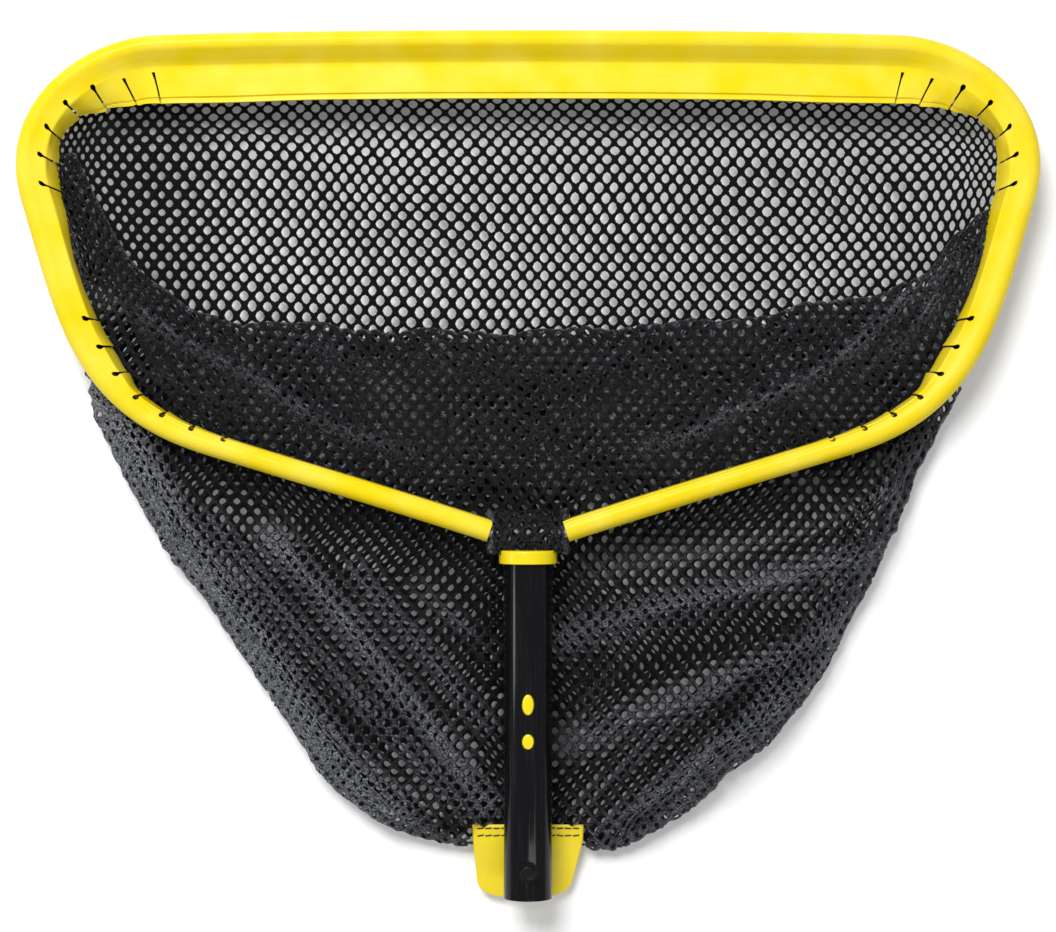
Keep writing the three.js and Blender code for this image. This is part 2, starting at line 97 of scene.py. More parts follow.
def from_end(points):
    """Points whose y is the distance from the handle's open end, in the part's frame."""
    return np.array(points, float) + [0, HANDLE_END]


def respaced(points, step):
    """The same line with points step apart."""
    gone = np.concatenate([[0], np.cumsum(np.hypot(*np.diff(points, axis=0).T))])
    at = np.linspace(0, gone[-1], max(2, int(round(gone[-1] / step)) + 1))
    return np.stack([np.interp(at, gone, points[:, 0]), np.interp(at, gone, points[:, 1])], 1)


def smooth_line(points, step=2.0):
    """A Catmull-Rom curve through the points, as points step apart."""
    p = np.array(points, float)
    p = np.vstack([2 * p[0] - p[1], p, 2 * p[-1] - p[-2]])
    t = np.linspace(0, 1, 24, endpoint=False)[:, None]
    spans = []
    for a, b, c, d in zip(p, p[1:], p[2:], p[3:]):
        spans.append(0.5 * (2 * b + (c - a) * t + (2 * a - 5 * b + 4 * c - d) * t**2
                            + (3 * b - a - 3 * c + d) * t**3))
    return respaced(np.vstack(spans + [p[-2:-1]]), step)


def normals_of(line):
    """Unit normals to the right of a line."""
    along = np.gradient(line, axis=0)
    along /= np.hypot(*along.T)[:, None]
    return np.stack([along[:, 1], -along[:, 0]], 1)


def smoothstep(low, high, x):
    t = np.clip((np.asarray(x, float) - low) / (high - low), 0, 1)
    return t * t * (3 - 2 * t)


def nearest(points, line):
    """For each point, its distance to a line, the nearest line point's index and the vector from it."""
    flat = points.reshape(-1, 2)
    best = np.empty(len(flat), int)
    for start in range(0, len(flat), 4000):
        part = flat[start:start + 4000]
        gap = ((part[:, None, :] - line[None, :, :]) ** 2).sum(-1)
        best[start:start + 4000] = gap.argmin(1)
    off = flat - line[best]
    return np.hypot(*off.T), best, off


# ---- The mouth's outline: left arm's end, round the nose, to the right arm's end ----
HALF_OUTLINE = [
    [(0, 475.7), (-80, 475.7), (-150, 474.9), (-203, 473)],
    [(-203, 473), (-243.8, 471.6), (-294.2, 435.6), (-277.5, 381.4)],
    [(-277.5, 381.4), (-270.3, 358), (-264.7, 334.5), (-254.8, 311.3)],
    [(-254.8, 311.3), (-234.5, 263.8), (-200.7, 250.2), (-173.4, 241.9)],
    [(-173.4, 241.9), (-109.6, 222.5), (-74.9, 212.3), (-22.7, 195.3)],
]


def outline_points():
    left = from_end(np.vstack([bezier(part, 200) for part in HALF_OUTLINE]))
    both = np.vstack([left[::-1], left * [-1, 1]])
    keep = np.concatenate([[True], np.hypot(*np.diff(both, axis=0).T) > 1e-6])
    return respaced(both[keep], 0.5)


OUTLINE = outline_points()
OUTLINE_STEP = np.hypot(*(OUTLINE[1] - OUTLINE[0]))
OUTLINE_IN = normals_of(OUTLINE)
OUTLINE_LENGTH = OUTLINE_STEP * (len(OUTLINE) - 1)
HALF = OUTLINE_LENGTH / 2


def inside(distance, n):
    """The point a distance along the outline and n inside it."""
    at = np.clip(np.asarray(distance, float), 0, OUTLINE_LENGTH)
    beyond = np.asarray(distance, float) - at
    index = at / OUTLINE_STEP
    steps = np.arange(len(OUTLINE))
    pick = lambda table: np.stack([np.interp(index, steps, table[:, k]) for k in (0, 1)], -1)
    point, inwards = pick(OUTLINE), pick(OUTLINE_IN)
    inwards /= np.linalg.norm(inwards, axis=-1, keepdims=True)
    along = np.stack([-inwards[..., 1], inwards[..., 0]], -1)
    return point + along * np.asarray(beyond)[..., None] + inwards * np.asarray(n, float)[..., None]


def inset_of(points):
    """How far inside the mouth's outline each point is (negative outside), and the way in."""
    _, best, _ = nearest(points, OUTLINE)
    off = points.reshape(-1, 2) - OUTLINE[best]
    inwards = OUTLINE_IN[best]
    return (off * inwards).sum(1).reshape(points.shape[:-1]), inwards.reshape(points.shape)


# ---- Meshes ----
def new_object(name, verts, faces, material, sharp=40, recalc=True):
    mesh = bpy.data.meshes.new(name)
    mesh.from_pydata((np.asarray(verts, float).reshape(-1, 3) * MM).tolist(), [], faces)
    if recalc:
        made = bmesh.new()
        made.from_mesh(mesh)
        bmesh.ops.recalc_face_normals(made, faces=made.faces)
        made.to_mesh(mesh)
        made.free()
    mesh.polygons.foreach_set("use_smooth", np.ones(len(mesh.polygons), bool))
    if sharp:
        mesh.set_sharp_from_angle(angle=math.radians(sharp))
    mesh.update()
    obj = bpy.data.objects.new(name, mesh)
    bpy.context.collection.objects.link(obj)
    obj.data.materials.append(material)
    return obj


def apply_modifiers(obj):
    graph = bpy.context.evaluated_depsgraph_get()
    mesh = bpy.data.meshes.new_from_object(obj.evaluated_get(graph), depsgraph=graph)
    obj.modifiers.clear()
    old, obj.data = obj.data, mesh
    bpy.data.meshes.remove(old)
    mesh.set_sharp_from_angle(angle=math.radians(40))
    return obj


def ring_faces(rings, sides, closed=False):
    """Quads between rings of points that each close on themselves."""
    r, i = np.arange(rings if closed else rings - 1)[:, None], np.arange(sides)
    after, beside = (r + 1) % rings, (i + 1) % sides
    corners = [r * sides + i, r * sides + beside, after * sides + beside, after * sides + i]
    return np.stack(corners, -1).reshape(-1, 4)


def loft(name, rings, material, sharp=40):
    """A closed body through rings, with flat ends."""
    rings = np.asarray(rings, float)
    count, sides = rings.shape[:2]
    faces = ring_faces(count, sides).tolist()
    faces += [list(range(sides)), [(count - 1) * sides + i for i in range(sides)]]
    return new_object(name, rings, faces, material, sharp)


def lathe(name, profile, material, segments=128):
    """A closed profile of (radius, distance from the handle's end) turned about the handle's axis."""
    turn = np.linspace(0, 2 * np.pi, segments, endpoint=False)[:, None]
    r, y = np.array(profile, float).T
    rings = np.stack([r * np.sin(turn), HANDLE_END + y + 0 * turn, AXIS_Z + r * np.cos(turn)], -1)
    return new_object(name, rings, ring_faces(segments, len(profile), closed=True).tolist(), material, 30)


def tube_along(path, radius, sides=10):
    """Rings round a path in space; radius is a number or one per point."""
    path = np.asarray(path, float)
    along = np.gradient(path, axis=0)
    along /= np.linalg.norm(along, axis=1)[:, None]
    side = np.cross(along, [0, 0, 1.0])
    side /= np.maximum(np.linalg.norm(side, axis=1)[:, None], 1e-6)
    up = np.cross(side, along)
    a = np.linspace(0, 2 * np.pi, sides, endpoint=False)[None, :, None]
    size = (np.zeros(len(path)) + radius)[:, None, None]
    return path[:, None] + size * (np.cos(a) * side[:, None] + np.sin(a) * up[:, None])


def rounded(corners, radii, steps=5):
    """A closed outline of (x, y) corners, each rounded with its radius."""
    out = []
    count = len(corners)
    for i, (corner, radius) in enumerate(zip(corners, radii)):
        p, before, after = (np.array(corners[k % count], float) for k in (i, i - 1, i + 1))
        if radius <= 0:
            out.append(tuple(p))
            continue
        to_before, to_after = before - p, after - p
        to_before /= np.linalg.norm(to_before)
        to_after /= np.linalg.norm(to_after)
        half = math.acos(np.clip(to_before @ to_after, -1, 1)) / 2
        reach = radius / math.tan(half)
        start, end = p + to_before * reach, p + to_after * reach
        for t in np.linspace(0, 1, steps + 1):
            out.append(tuple((1 - t) ** 2 * start + 2 * t * (1 - t) * p + t * t * end))
    return out


def oval(cx, cy, half_w, half_l, count=40):
    a = np.linspace(0, 2 * np.pi, count, endpoint=False)
    return np.stack([cx + half_w * np.cos(a), cy + half_l * np.sin(a)], 1)


def cut_away(obj, cutters, bevel=0.0):
    """obj with the cutters taken out of it and its sharp edges softened."""
    for cutter in cutters:
        tool = obj.modifiers.new("cut", "BOOLEAN")
        tool.object, tool.operation, tool.solver = cutter, "DIFFERENCE", "EXACT"
    if bevel:
        soft = obj.modifiers.new("soft", "BEVEL")
        soft.width, soft.segments, soft.limit_method = bevel * MM, 2, "ANGLE"
        soft.angle_limit = math.radians(50)
    apply_modifiers(obj)
    for cutter in cutters:
        bpy.data.objects.remove(cutter)
    return obj


# ---- Materials ----
def material(name, color, roughness, **settings):
    """A Principled material and its shader."""
    mat = bpy.data.materials.new(name)
    mat.use_nodes = True
    shader = mat.node_tree.nodes["Principled BSDF"]
    shader.inputs["Base Color"].default_value = (*color, 1)
    shader.inputs["Roughness"].default_value = roughness
    for key, value in settings.items():
        shader.inputs[key.replace("_", " ")].default_value = value
    return mat, shader


def node(mat, kind, inputs=None, **settings):
    """A new node; an input is given as a value or as the socket it is linked to."""
    made = mat.node_tree.nodes.new(kind)
    for key, value in settings.items():
        setattr(made, key, value)
    for key, value in (inputs or {}).items():
        if isinstance(value, bpy.types.NodeSocket):
            mat.node_tree.links.new(value, made.inputs[key])
        else:
            made.inputs[key].default_value = value
    return made


def place(mat):
    """Where on the object, in metres, in the part's own frame."""
    return node(mat, "ShaderNodeTexCoord").outputs["Object"]


def noise(mat, scale, detail=3.0, roughness=0.5, stretch=None):
    at = place(mat)
    if stretch:
        at = node(mat, "ShaderNodeMapping", {"Vector": at, "Scale": stretch}).outputs["Vector"]
    inputs = {"Vector": at, "Scale": scale, "Detail": detail, "Roughness": roughness}
    return node(mat, "ShaderNodeTexNoise", inputs).outputs["Fac"]


def span(mat, value, low, high, to_low, to_high):
    """A value's range from low to high, turned into another range."""
    return node(
        mat, "ShaderNodeMapRange",
        {"Value": value, "From Min": low, "From Max": high, "To Min": to_low, "To Max": to_high},
    ).outputs["Result"]


def ramp(mat, value, low, high, first, second):
    """A colour that goes from first to second as a value goes from low to high."""
    mix = node(mat, "ShaderNodeMix", data_type="RGBA")
    mat.node_tree.links.new(span(mat, value, low, high, 0, 1), mix.inputs["Factor"])
    mix.inputs[6].default_value, mix.inputs[7].default_value = (*first, 1), (*second, 1)
    return mix.outputs[2]


def link(mat, value, socket):
    mat.node_tree.links.new(value, socket)


def cloudy(mat, shader, value, first, second, low=0.3, high=0.7):
    """The surface's colour, going from first to second with a value."""
    link(mat, ramp(mat, value, low, high, first, second), shader.inputs["Base Color"])


def bump(mat, shader, height, strength, distance_mm):
    inputs = {"Height": height, "Strength": strength, "Distance": distance_mm * MM}
    link(mat, node(mat, "ShaderNodeBump", inputs).outputs["Normal"], shader.inputs["Normal"])


# The vinyl's yellow, and a paler yellow that is its uneven tone together with painted highlight.
YELLOW, YELLOW_HIGHLIGHT_MOTTLE = (0.72, 0.545, 0.006), (0.745, 0.595, 0.045)


def vinyl_material():
    """Soft extruded vinyl: saturated yellow with paler cloudy patches, which are its own uneven tone
    together with painted highlight, and draw lines and light scuffs.
    """
    mat, shader = material("yellow_vinyl", YELLOW, 0.3, Specular_IOR_Level=0.06, Subsurface_Weight=0.05,
                           Subsurface_Radius=(1.0, 0.7, 0.1), Subsurface_Scale=0.002)
    # Paler cloudy patches: the vinyl's own uneven tone together with painted highlight.
    cloudy(mat, shader, noise(mat, 45), YELLOW, YELLOW_HIGHLIGHT_MOTTLE, 0.35)
    link(mat, span(mat, noise(mat, 260, 5), 0.35, 0.7, 0.2, 0.3), shader.inputs["Roughness"])
    bump(mat, shader, noise(mat, 420, 6, 0.6), 0.12, 0.1)
    return mat


def moulded_yellow_material():
    mat, shader = material("yellow_plastic", (0.8, 0.62, 0.006), 0.3, Specular_IOR_Level=0.35)
    cloudy(mat, shader, noise(mat, 70), (0.76, 0.6, 0.006), (0.7, 0.53, 0.004))
    bump(mat, shader, noise(mat, 1500, 3), 0.12, 0.06)
    return mat


def tab_material():
    """Thin yellow vinyl sheet with a fine leather-like press and slight waves."""
    mat, shader = material("yellow_tab", (0.8, 0.62, 0.01), 0.42, Specular_IOR_Level=0.35)
    cells = node(mat, "ShaderNodeTexVoronoi", {"Vector": place(mat), "Scale": 1900.0}).outputs["Distance"]
    cloudy(mat, shader, noise(mat, 60), (0.75, 0.6, 0.008), (0.7, 0.53, 0.005))
    bump(mat, shader, cells, 0.25, 0.08)
    return mat


def gloss_black_material():
    """Gloss black tube with faint lengthwise rub marks from sliding in a pole."""
    mat, shader = material("gloss_black", (0.003, 0.003, 0.004), 0.2, Specular_IOR_Level=0.2)
    marks = noise(mat, 900, 4, 0.7, stretch=(1, 0.03, 1))
    link(mat, span(mat, marks, 0.4, 0.75, 0.12, 0.22), shader.inputs["Roughness"])
    cloudy(mat, shader, marks, (0.003, 0.003, 0.004), (0.012, 0.012, 0.013), 0.5, 0.8)
    bump(mat, shader, marks, 0.06, 0.05)
    return mat


def matt_black_material():
    mat, shader = material("matt_black", (0.004, 0.004, 0.005), 0.35, Specular_IOR_Level=0.15)
    cloudy(mat, shader, noise(mat, 500), (0.003, 0.003, 0.0035), (0.007, 0.007, 0.008))
    bump(mat, shader, noise(mat, 2500, 2), 0.2, 0.05)
    return mat


def knit_material(name, shade, ridge_sheen):
    """Black filament yarn: fine twisted fibres that glint, painted greyer in specks where the cloth slopes
    steeply, on its ridges and on the puffed rim; this grey is painted sheen and painted glints.
    """
    mat, shader = material(name, shade, 0.45, Sheen_Weight=0.03, Sheen_Roughness=0.35,
                           Specular_IOR_Level=0.13)
    shader.inputs["Sheen Tint"].default_value = (0.85, 0.9, 1.0, 1)
    fibres = node(
        mat, "ShaderNodeTexWave",
        {"Vector": place(mat), "Scale": 430.0, "Distortion": 11.0, "Detail": 3.0, "Detail Scale": 2.2},
        bands_direction="DIAGONAL",
    ).outputs["Fac"]
    sheen_level = node(mat, "ShaderNodeAttribute", attribute_name="sheen_paint").outputs["Fac"]
    # Grey specks of painted glint, where the painted sheen shows.
    glint_specks = span(mat, noise(mat, 900, 2), 0.44, 0.62, 0.1, 1)
    amount = node(mat, "ShaderNodeMath", {0: sheen_level, 1: glint_specks}, operation="MULTIPLY").outputs[0]
    cloudy(mat, shader, amount, shade, ridge_sheen, 0, 1)
    link(mat, span(mat, fibres, 0, 1, 0.28, 0.6), shader.inputs["Roughness"])
    bump(mat, shader, fibres, 0.9, 0.35)
    return mat


def thread_material():
    mat, shader = material("black_thread", (0.012, 0.012, 0.013), 0.5, Sheen_Weight=0.3)
    twist = node(mat, "ShaderNodeTexWave", {"Vector": place(mat), "Scale": 1500.0, "Distortion": 1.0},
                 bands_direction="DIAGONAL").outputs["Fac"]
    cloudy(mat, shader, twist, (0.006, 0.006, 0.007), (0.03, 0.03, 0.032), 0, 1)
    bump(mat, shader, twist, 0.6, 0.1)
    return mat


def metal_material(name, color, roughness):
    """Drawn metal with fine lengthwise lines."""
    mat, shader = material(name, color, roughness, Metallic=1.0)
    lines = noise(mat, 1400, 4, 0.6, stretch=(1, 0.06, 1))
    link(mat, span(mat, lines, 0.3, 0.7, roughness * 0.7, roughness * 1.4), shader.inputs["Roughness"])
    cloudy(mat, shader, noise(mat, 200), color, tuple(c * 0.8 for c in color))
    bump(mat, shader, lines, 0.1, 0.04)
    return mat


def floor_material():
    mat, shader = material("floor", (0.9, 0.9, 0.9), 0.85, Specular_IOR_Level=0.1)
    cloudy(mat, shader, noise(mat, 3), (0.9, 0.9, 0.9), (0.88, 0.88, 0.88))
    return mat


# ---- Edging: a strip of vinyl that clips over the hem, with notched corners ----
# The first notch's distance from an arm's end, the spacing of the notches and how it grows.
KERF_RUNS = [(154, 19.4, 0), (351, 19.7, 0.15)]
KERFS_IN_RUN = 7
KERF_GAP, KERF_HEAD = 1.4, 2.2
KERF_CLEAR = 2.3  # no plain section lies nearer to a notch
LEG_END, TOP_END = math.radians(235), math.radians(-25)  # the bead's arc, from under the hem to the top
# Distance from an arm's end; inset and height of the crease and of the lip; drift of the lip along the
# strip; how hollow the face is; inset where the notches start.
SECTIONS = np.array([
    (0, 11.9, 5.2, 11.7, -11, 0, 0.4, 9.9),
    (140, 11.9, 5.2, 11.7, -11, -3, 0.4, 9.9),
    (215, 13.4, 4.9, 14.2, -11, -5, 0.4, 10.0),
    (233, 15.3, 4.8, 17.4, -11, -8, 0.3, 11.3),
    (250, 16.4, 4.5, 19.0, -10.5, -8, 0.3, 12.8),
    (305, 17.0, 4.4, 18.0, -10.5, -10, 0.3, 12.6),
    (345, 17.2, 4.4, 21.0, -10.5, -14, 0.3, 12.4),
    (370, 17.3, 4.4, 22.0, -10.5, -9, 0.3, 12.4),
    (395, 17.3, 4.3, 20.4, -10, -8, 0.3, 11.9),
    (410, 17.4, 3.9, 23.0, -9.2, -2, 0.3, 13.0),
    (431, 17.4, 2.4, 30.0, -7.6, -1, 0.4, 15.8),
    (452, 17.2, 0.2, 35.2, -5.4, 2.6, 0.6, 19.4),
    (475, 17, -2.8, 37.0, -3.4, 4, 0.9, 19.4),
    (514, 17, -4.0, 37.5, -2.8, 2, 1, 19.4),
    (570, 17, -4.2, 36.8, -2.8, 0, 1, 19.4),
    (900, 17, -4.2, 36.8, -2.8, 0, 1, 19.4),
])

BEAD_POINTS = 17
# Points of the flange: the share of the way from the crease to the lip, and a fine groove's depth there.
FLANGE = [(0.12, 0), (0.32, 0), (0.55, 0), (0.74, 0), (0.82, 0), (0.85, 1.2), (0.88, 0.2), (1, 0)]


def eased(table, at):
    """Each column of a table read at a distance, eased between its rows."""
    row = np.clip(np.searchsorted(table[:, 0], at, "right") - 1, 0, len(table) - 2)
    t = smoothstep(0, 1, (at - table[row, 0]) / (table[row + 1, 0] - table[row, 0]))
    return table[row, 1:] + (table[row + 1, 1:] - table[row, 1:]) * t[:, None]


def kerf_centres():
    half = [start + k * (pitch + k * growth) for start, pitch, growth in KERF_RUNS
            for k in range(KERFS_IN_RUN)]
    return np.array(sorted(half + [OUTLINE_LENGTH - s for s in half]))


def strip_columns(spacing=2.8):
    """Distances along the strip, the side of a notch each is on (0 for none) and that notch's number."""
    kerfs = kerf_centres()
    plain = np.linspace(0, OUTLINE_LENGTH, int(OUTLINE_LENGTH / spacing))
    gap = np.abs(plain[:, None] - kerfs).min(1)
    rows = [(s, 0, -1) for s in plain[gap > KERF_CLEAR]]
    rows += [(s + side * 0.2, side, k) for k, s in enumerate(kerfs) for side in (-1, 1)]
    rows.sort()
    at, side, number = (np.array(c) for c in zip(*rows))
    return at, side, number.astype(int), kerfs


def bead_line(hollow):
    """Each section's round bead, from the leg under the hem to the top; it is flatter at the nose."""
    turn = np.linspace(LEG_END, TOP_END, BEAD_POINTS)
    bead = np.stack([EDGE_R - EDGE_R * np.sin(turn), EDGE_R * np.cos(turn)], -1)
    bead = np.repeat(bead[None], len(hollow), 0)
    bead[..., 1] -= 0.03 * hollow * np.maximum(bead[..., 0] - 3.5, 0) ** 2
    return bead


def face_points(start, crease, lip, hollow, notch):
    """Each section's face from the bead's end to the crease, which is rounded, with a dip between."""
    slope = (crease[:, 1] - start[:, 1]) / (crease[:, 0] - start[:, 0])
    face = []
    for n in [0.4 * start[:, 0] + 0.6 * notch, notch]:
        face.append(np.stack([n, start[:, 1] + slope * (n - start[:, 0])], -1))
    root = face[-1]
    reach = np.minimum(0.9, 0.4 * (crease[:, 0] - notch))[:, None]
    to_face = (root - crease) / np.linalg.norm(root - crease, axis=1)[:, None]
    to_lip = (lip - crease) / np.linalg.norm(lip - crease, axis=1)[:, None]
    before, after = crease + to_face * reach, crease + to_lip * reach
    face += [root + (before - root) * t for t in (0.25, 0.5, 0.75)]
    for point in face:
        t = np.clip((point[:, 0:1] - start[:, 0:1]) / (crease[:, 0:1] - start[:, 0:1]), 0, 1)
        point[:, 1:2] -= hollow * np.sin(np.pi * t)
    return face + [before, (before + 2 * crease + after) / 4, after]


def flange_points(after, lip, hollow):
    """Each section's flange from the crease to the lip, bulging inwards where it stands upright."""
    flange = []
    for t, groove in FLANGE:
        point = after + (lip - after) * t
        point[:, 0:1] += 0.9 * np.sin(np.pi * t) * (1 - hollow)
        point[:, 1:2] -= groove * hollow
        flange.append(point)
    return flange


def strip_section(sections):
    """The outer line of each section, from the leg under the hem over the bead and face to the lip, and
    the number of the point where a notch starts."""
    crease, lip, hollow = sections[:, 0:2], sections[:, 2:4], sections[:, 5:6]
    notch = np.minimum(sections[:, 6], crease[:, 0] - 0.8)
    bead = bead_line(hollow)
    face = face_points(bead[:, -1], crease, lip, hollow, notch)
    outer = np.concatenate([bead, np.stack(face + flange_points(face[-1], lip, hollow), 1)], 1)
    first = BEAD_POINTS + 1
    return outer, first + np.abs(outer[:, first:first + 9, 0] - sections[:, 6:7]).argmin(1)


def flap_lifts(at, side, kerfs):
    """How far the strip is lifted along its length: each notch leaves its two flaps a little apart."""
    rng = np.random.default_rng(11)
    step = rng.uniform(0.4, 1.0, len(kerfs)) * rng.choice([-1, 1], len(kerfs))
    near = np.abs(at[:, None] - kerfs).argmin(1)
    away = at - kerfs[near]
    sign = np.where(side != 0, side, np.sign(away))
    return sign * step[near] * np.exp(-np.abs(away) / 6)


def part_flaps(loop, lift, notch, hollow):
    """Moves the sections' free parts: up on the face, and inwards where the flange stands upright."""
    free = np.clip((loop[..., 0] - notch) / 4, 0, 1)
    steep = np.zeros(loop.shape[1] // 2)
    steep[-len(FLANGE):] = 1
    upright = np.concatenate([steep, steep[::-1]]) * (1 - hollow)
    loop[..., 1] += free * lift[:, None] * (1 - upright)
    loop[..., 0] -= free * lift[:, None] * upright


def edging(mat):
    at, side, number, kerfs = strip_columns()
    sections = eased(SECTIONS, np.minimum(at, OUTLINE_LENGTH - at))
    drift, hollow, notch = (sections[:, k:k + 1] for k in (4, 5, 6))
    outer, root = strip_section(sections)
    along = np.gradient(outer, axis=1)
    along /= np.linalg.norm(along, axis=-1, keepdims=True)
    inner = outer + EDGE_WALL * np.stack([along[..., 1], -along[..., 0]], -1)
    loop = np.concatenate([outer, inner[:, ::-1]], 1)
    part_flaps(loop, flap_lifts(at, side, kerfs), notch, hollow)
    n = loop[..., 0]
    gap = KERF_GAP + KERF_HEAD * np.exp(-(((n - notch - 1.4) / 1.3) ** 2)) * (n > notch - 0.5)
    reach = np.clip((n - notch) / 15, 0, 1.4)
    drifted = drift * reach * np.where(at > HALF, -1, 1)[:, None]
    centre = np.where(side != 0, kerfs[np.maximum(number, 0)], at)
    distance = centre[:, None] + side[:, None] * gap / 2 + drifted
    verts = np.concatenate([inside(distance, n), (AXIS_Z + loop[..., 1])[..., None]], -1)
    roots = np.where(side == 1, np.roll(root, 1), root)
    return strip_mesh(verts, outer.shape[1], roots, side, mat)


def strip_mesh(verts, count, roots, side, mat):
    """Joins the sections, leaving the notches open and walling their sides."""
    columns, sides = verts.shape[:2]
    other = lambda i: sides - 1 - i
    wall = lambda base, first: [(base + i, base + i + 1, base + other(i + 1), base + other(i))
                                for i in range(first, count - 1)]
    faces = []
    for c in range(columns - 1):
        root = roots[c]
        notch = side[c] == -1 and side[c + 1] == 1
        a, b = c * sides, (c + 1) * sides
        for i in range(sides):
            j = (i + 1) % sides
            cut = notch and (root <= i < count or root < other(i) + 1 <= count - 1 or i == count - 1)
            if cut and not (i >= count and other(i) <= root):
                continue
            faces.append((a + i, a + j, b + j, b + i))
        if notch:
            faces.append((a + root, b + root, b + other(root), a + other(root)))
            faces += wall(a, root) + wall(b, root)
    faces += wall(0, 0) + wall((columns - 1) * sides, 0)
    obj = new_object("edging", verts, faces, mat, 38)
    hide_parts("edge_channel")
    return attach(obj, ROOT)


# ---- Handle ----
def upright_prism(name, outline, low, high, mat):
    rings = [[(x, y, z) for x, y in outline] for z in (low, high)]
    return loft(name, rings, mat)


def handle_tube(mat):
    wall = rounded([(TUBE_BORE_R, 0), (TUBE_R, 0), (TUBE_R, TUBE_LENGTH), (TUBE_BORE_R, TUBE_LENGTH)],
                   [0.4, 0.6, 0.4, 0.4])
    tube = lathe("tube", wall, mat)
    cutters = []
    for y, w, l in BOSSES:
        window = oval(0, HANDLE_END + y, w + 0.3, l + 0.3)
        cutters.append(upright_prism("window", window, AXIS_Z, AXIS_Z + 2 * TUBE_R, mat))
    hole = oval(0, HANDLE_END + BUTTON_AT, BUTTON_HOLE_R, BUTTON_HOLE_R, 48)
    cutters.append(upright_prism("hole", hole, AXIS_Z - 2 * TUBE_R, AXIS_Z + 2 * TUBE_R, mat))
    cut_away(tube, cutters, 0.25)
    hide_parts("handle_tube")
    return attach(tube, ROOT)


def plug(mat):
    inner = TUBE_R + 0.3
    profile = rounded(
        [(0, PLUG_START), (PLUG_R, PLUG_START), (PLUG_R, TUBE_LENGTH + 0.3), (inner, TUBE_LENGTH + 0.3),
         (inner, COLLAR_START), (COLLAR_R, COLLAR_START), (COLLAR_R, COLLAR_END), (0, COLLAR_END)],
        [0, 1.2, 0.2, 0.2, 0.3, 0.6, 1.4, 0],
    )
    body = lathe("plug_collar", profile, mat)
    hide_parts("core_plug")
    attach(body, ROOT)
    tops = [(1, PLUG_R - 1), (1, TUBE_R - 0.5), (0.95, TUBE_R - 0.1), (0.82, TUBE_R + 0.12),
            (0.5, TUBE_R + 0.25)]
    for k, (y, w, l) in enumerate(BOSSES):
        rings = [[(x, v, AXIS_Z + z) for x, v in oval(0, HANDLE_END + y, w * s, l - w + w * s)]
                 for s, z in tops]
        boss = loft(f"plug_boss_{k + 1}", rings, mat, 50)
        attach(boss, ROOT)


# A button's rings, as shares of its radius, and their heights from the handle's axis.
BUTTON_RINGS = [(1, 8.0), (1, 12.5), (1.4, 12.6), (1.4, 13.8), (1, 13.9), (1, 16.4), (0.965, 16.85),
                (0.9, 17.15), (0.8, 17.28), (0.3, 17.3)]


def snap_button(name, way, body, replaced, mat):
    """A round pin with a foot under the tube's wall and a flat, softly edged end."""
    rings = [[(x, y, AXIS_Z + way * z)
              for x, y in oval(0, HANDLE_END + BUTTON_AT, BUTTON_R * s, BUTTON_R * s, 56)]
             for s, z in BUTTON_RINGS]
    pin = loft(name, rings, mat, 50)
    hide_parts(replaced)
    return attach(pin, body)


# ---- Pull tab ----
TAB_Z, TAB_THICK, TAB_HINGE, TAB_TOP = 4.95, 1.5, 28.5, 38.0
TAB_DROOP = math.tan(math.radians(8.2))
# Half the tab's width at each distance from the handle's end.
TAB_EDGE = [(38, 30.5), (28.5, 30.0), (6.0, 27.7), (2.5, 26.4), (0.0, 23.6), (-1.6, 19.5), (-2.3, 16),
            (-2.5, 13)]
TAB_CURL = 4.5  # the right wing stands a little on edge, which draws it in by this much at its end
STITCH_ROWS = (36.0, 32.0)
STITCH_PITCH, STITCH_LENGTH, THREAD_R = 4.4, 3.5, 0.42


def tab_height(x, y):
    """Height of the tab's middle: flat where it is sewn, drooping behind, with soft waves."""
    free = np.clip((TAB_HINGE - y) / TAB_HINGE, 0, 1)
    waves = 0.35 * np.sin(x / 9 + 0.6) + 0.3 * np.cos(x / 5.5)
    return (TAB_Z - TAB_DROOP * (TAB_HINGE - y) * (y < TAB_HINGE)
            + 0.6 * free**4
            + free * waves * np.sin(np.pi * np.clip(free, 0, 0.8)))


def tab(mat):
    edge = np.array(TAB_EDGE[::-1], float)
    rounded_end = [-1.9, -2.15, -2.35, -2.5]
    rows = np.concatenate([np.linspace(TAB_TOP, 6, 34), np.linspace(5.4, -1.6, 14), rounded_end])
    rings = []
    for y in rows:
        half = np.interp(y, edge[:, 0], edge[:, 1])
        curled = TAB_CURL * np.clip((TAB_HINGE - y) / TAB_HINGE, 0, 1)
        x = np.linspace(-half, half - curled, 33)
        z = tab_height(x, y)
        thick = TAB_THICK / 2 * (0.55 if y in (rows[0], rows[-1]) else 1)
        top = [(a, HANDLE_END + y, b + thick) for a, b in zip(x, z)]
        low = [(a, HANDLE_END + y, b - thick) for a, b in zip(x, z)]
        ends = [(x[-1] + 0.5, HANDLE_END + y, z[-1])], [(x[0] - 0.5, HANDLE_END + y, z[0])]
        rings.append(top + ends[0] + low[::-1] + ends[1])
    made = loft("tab", rings, mat, 50)
    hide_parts("tab_root", "tab_flap")
    hinge = [0, (HANDLE_END + TAB_HINGE) * MM, TAB_Z * MM]
    start, end = (0, hinge[1] + 0.0025, hinge[2]), (0, hinge[1] - 0.0025, hinge[2])
    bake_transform(made)
    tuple(start)
    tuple(end)


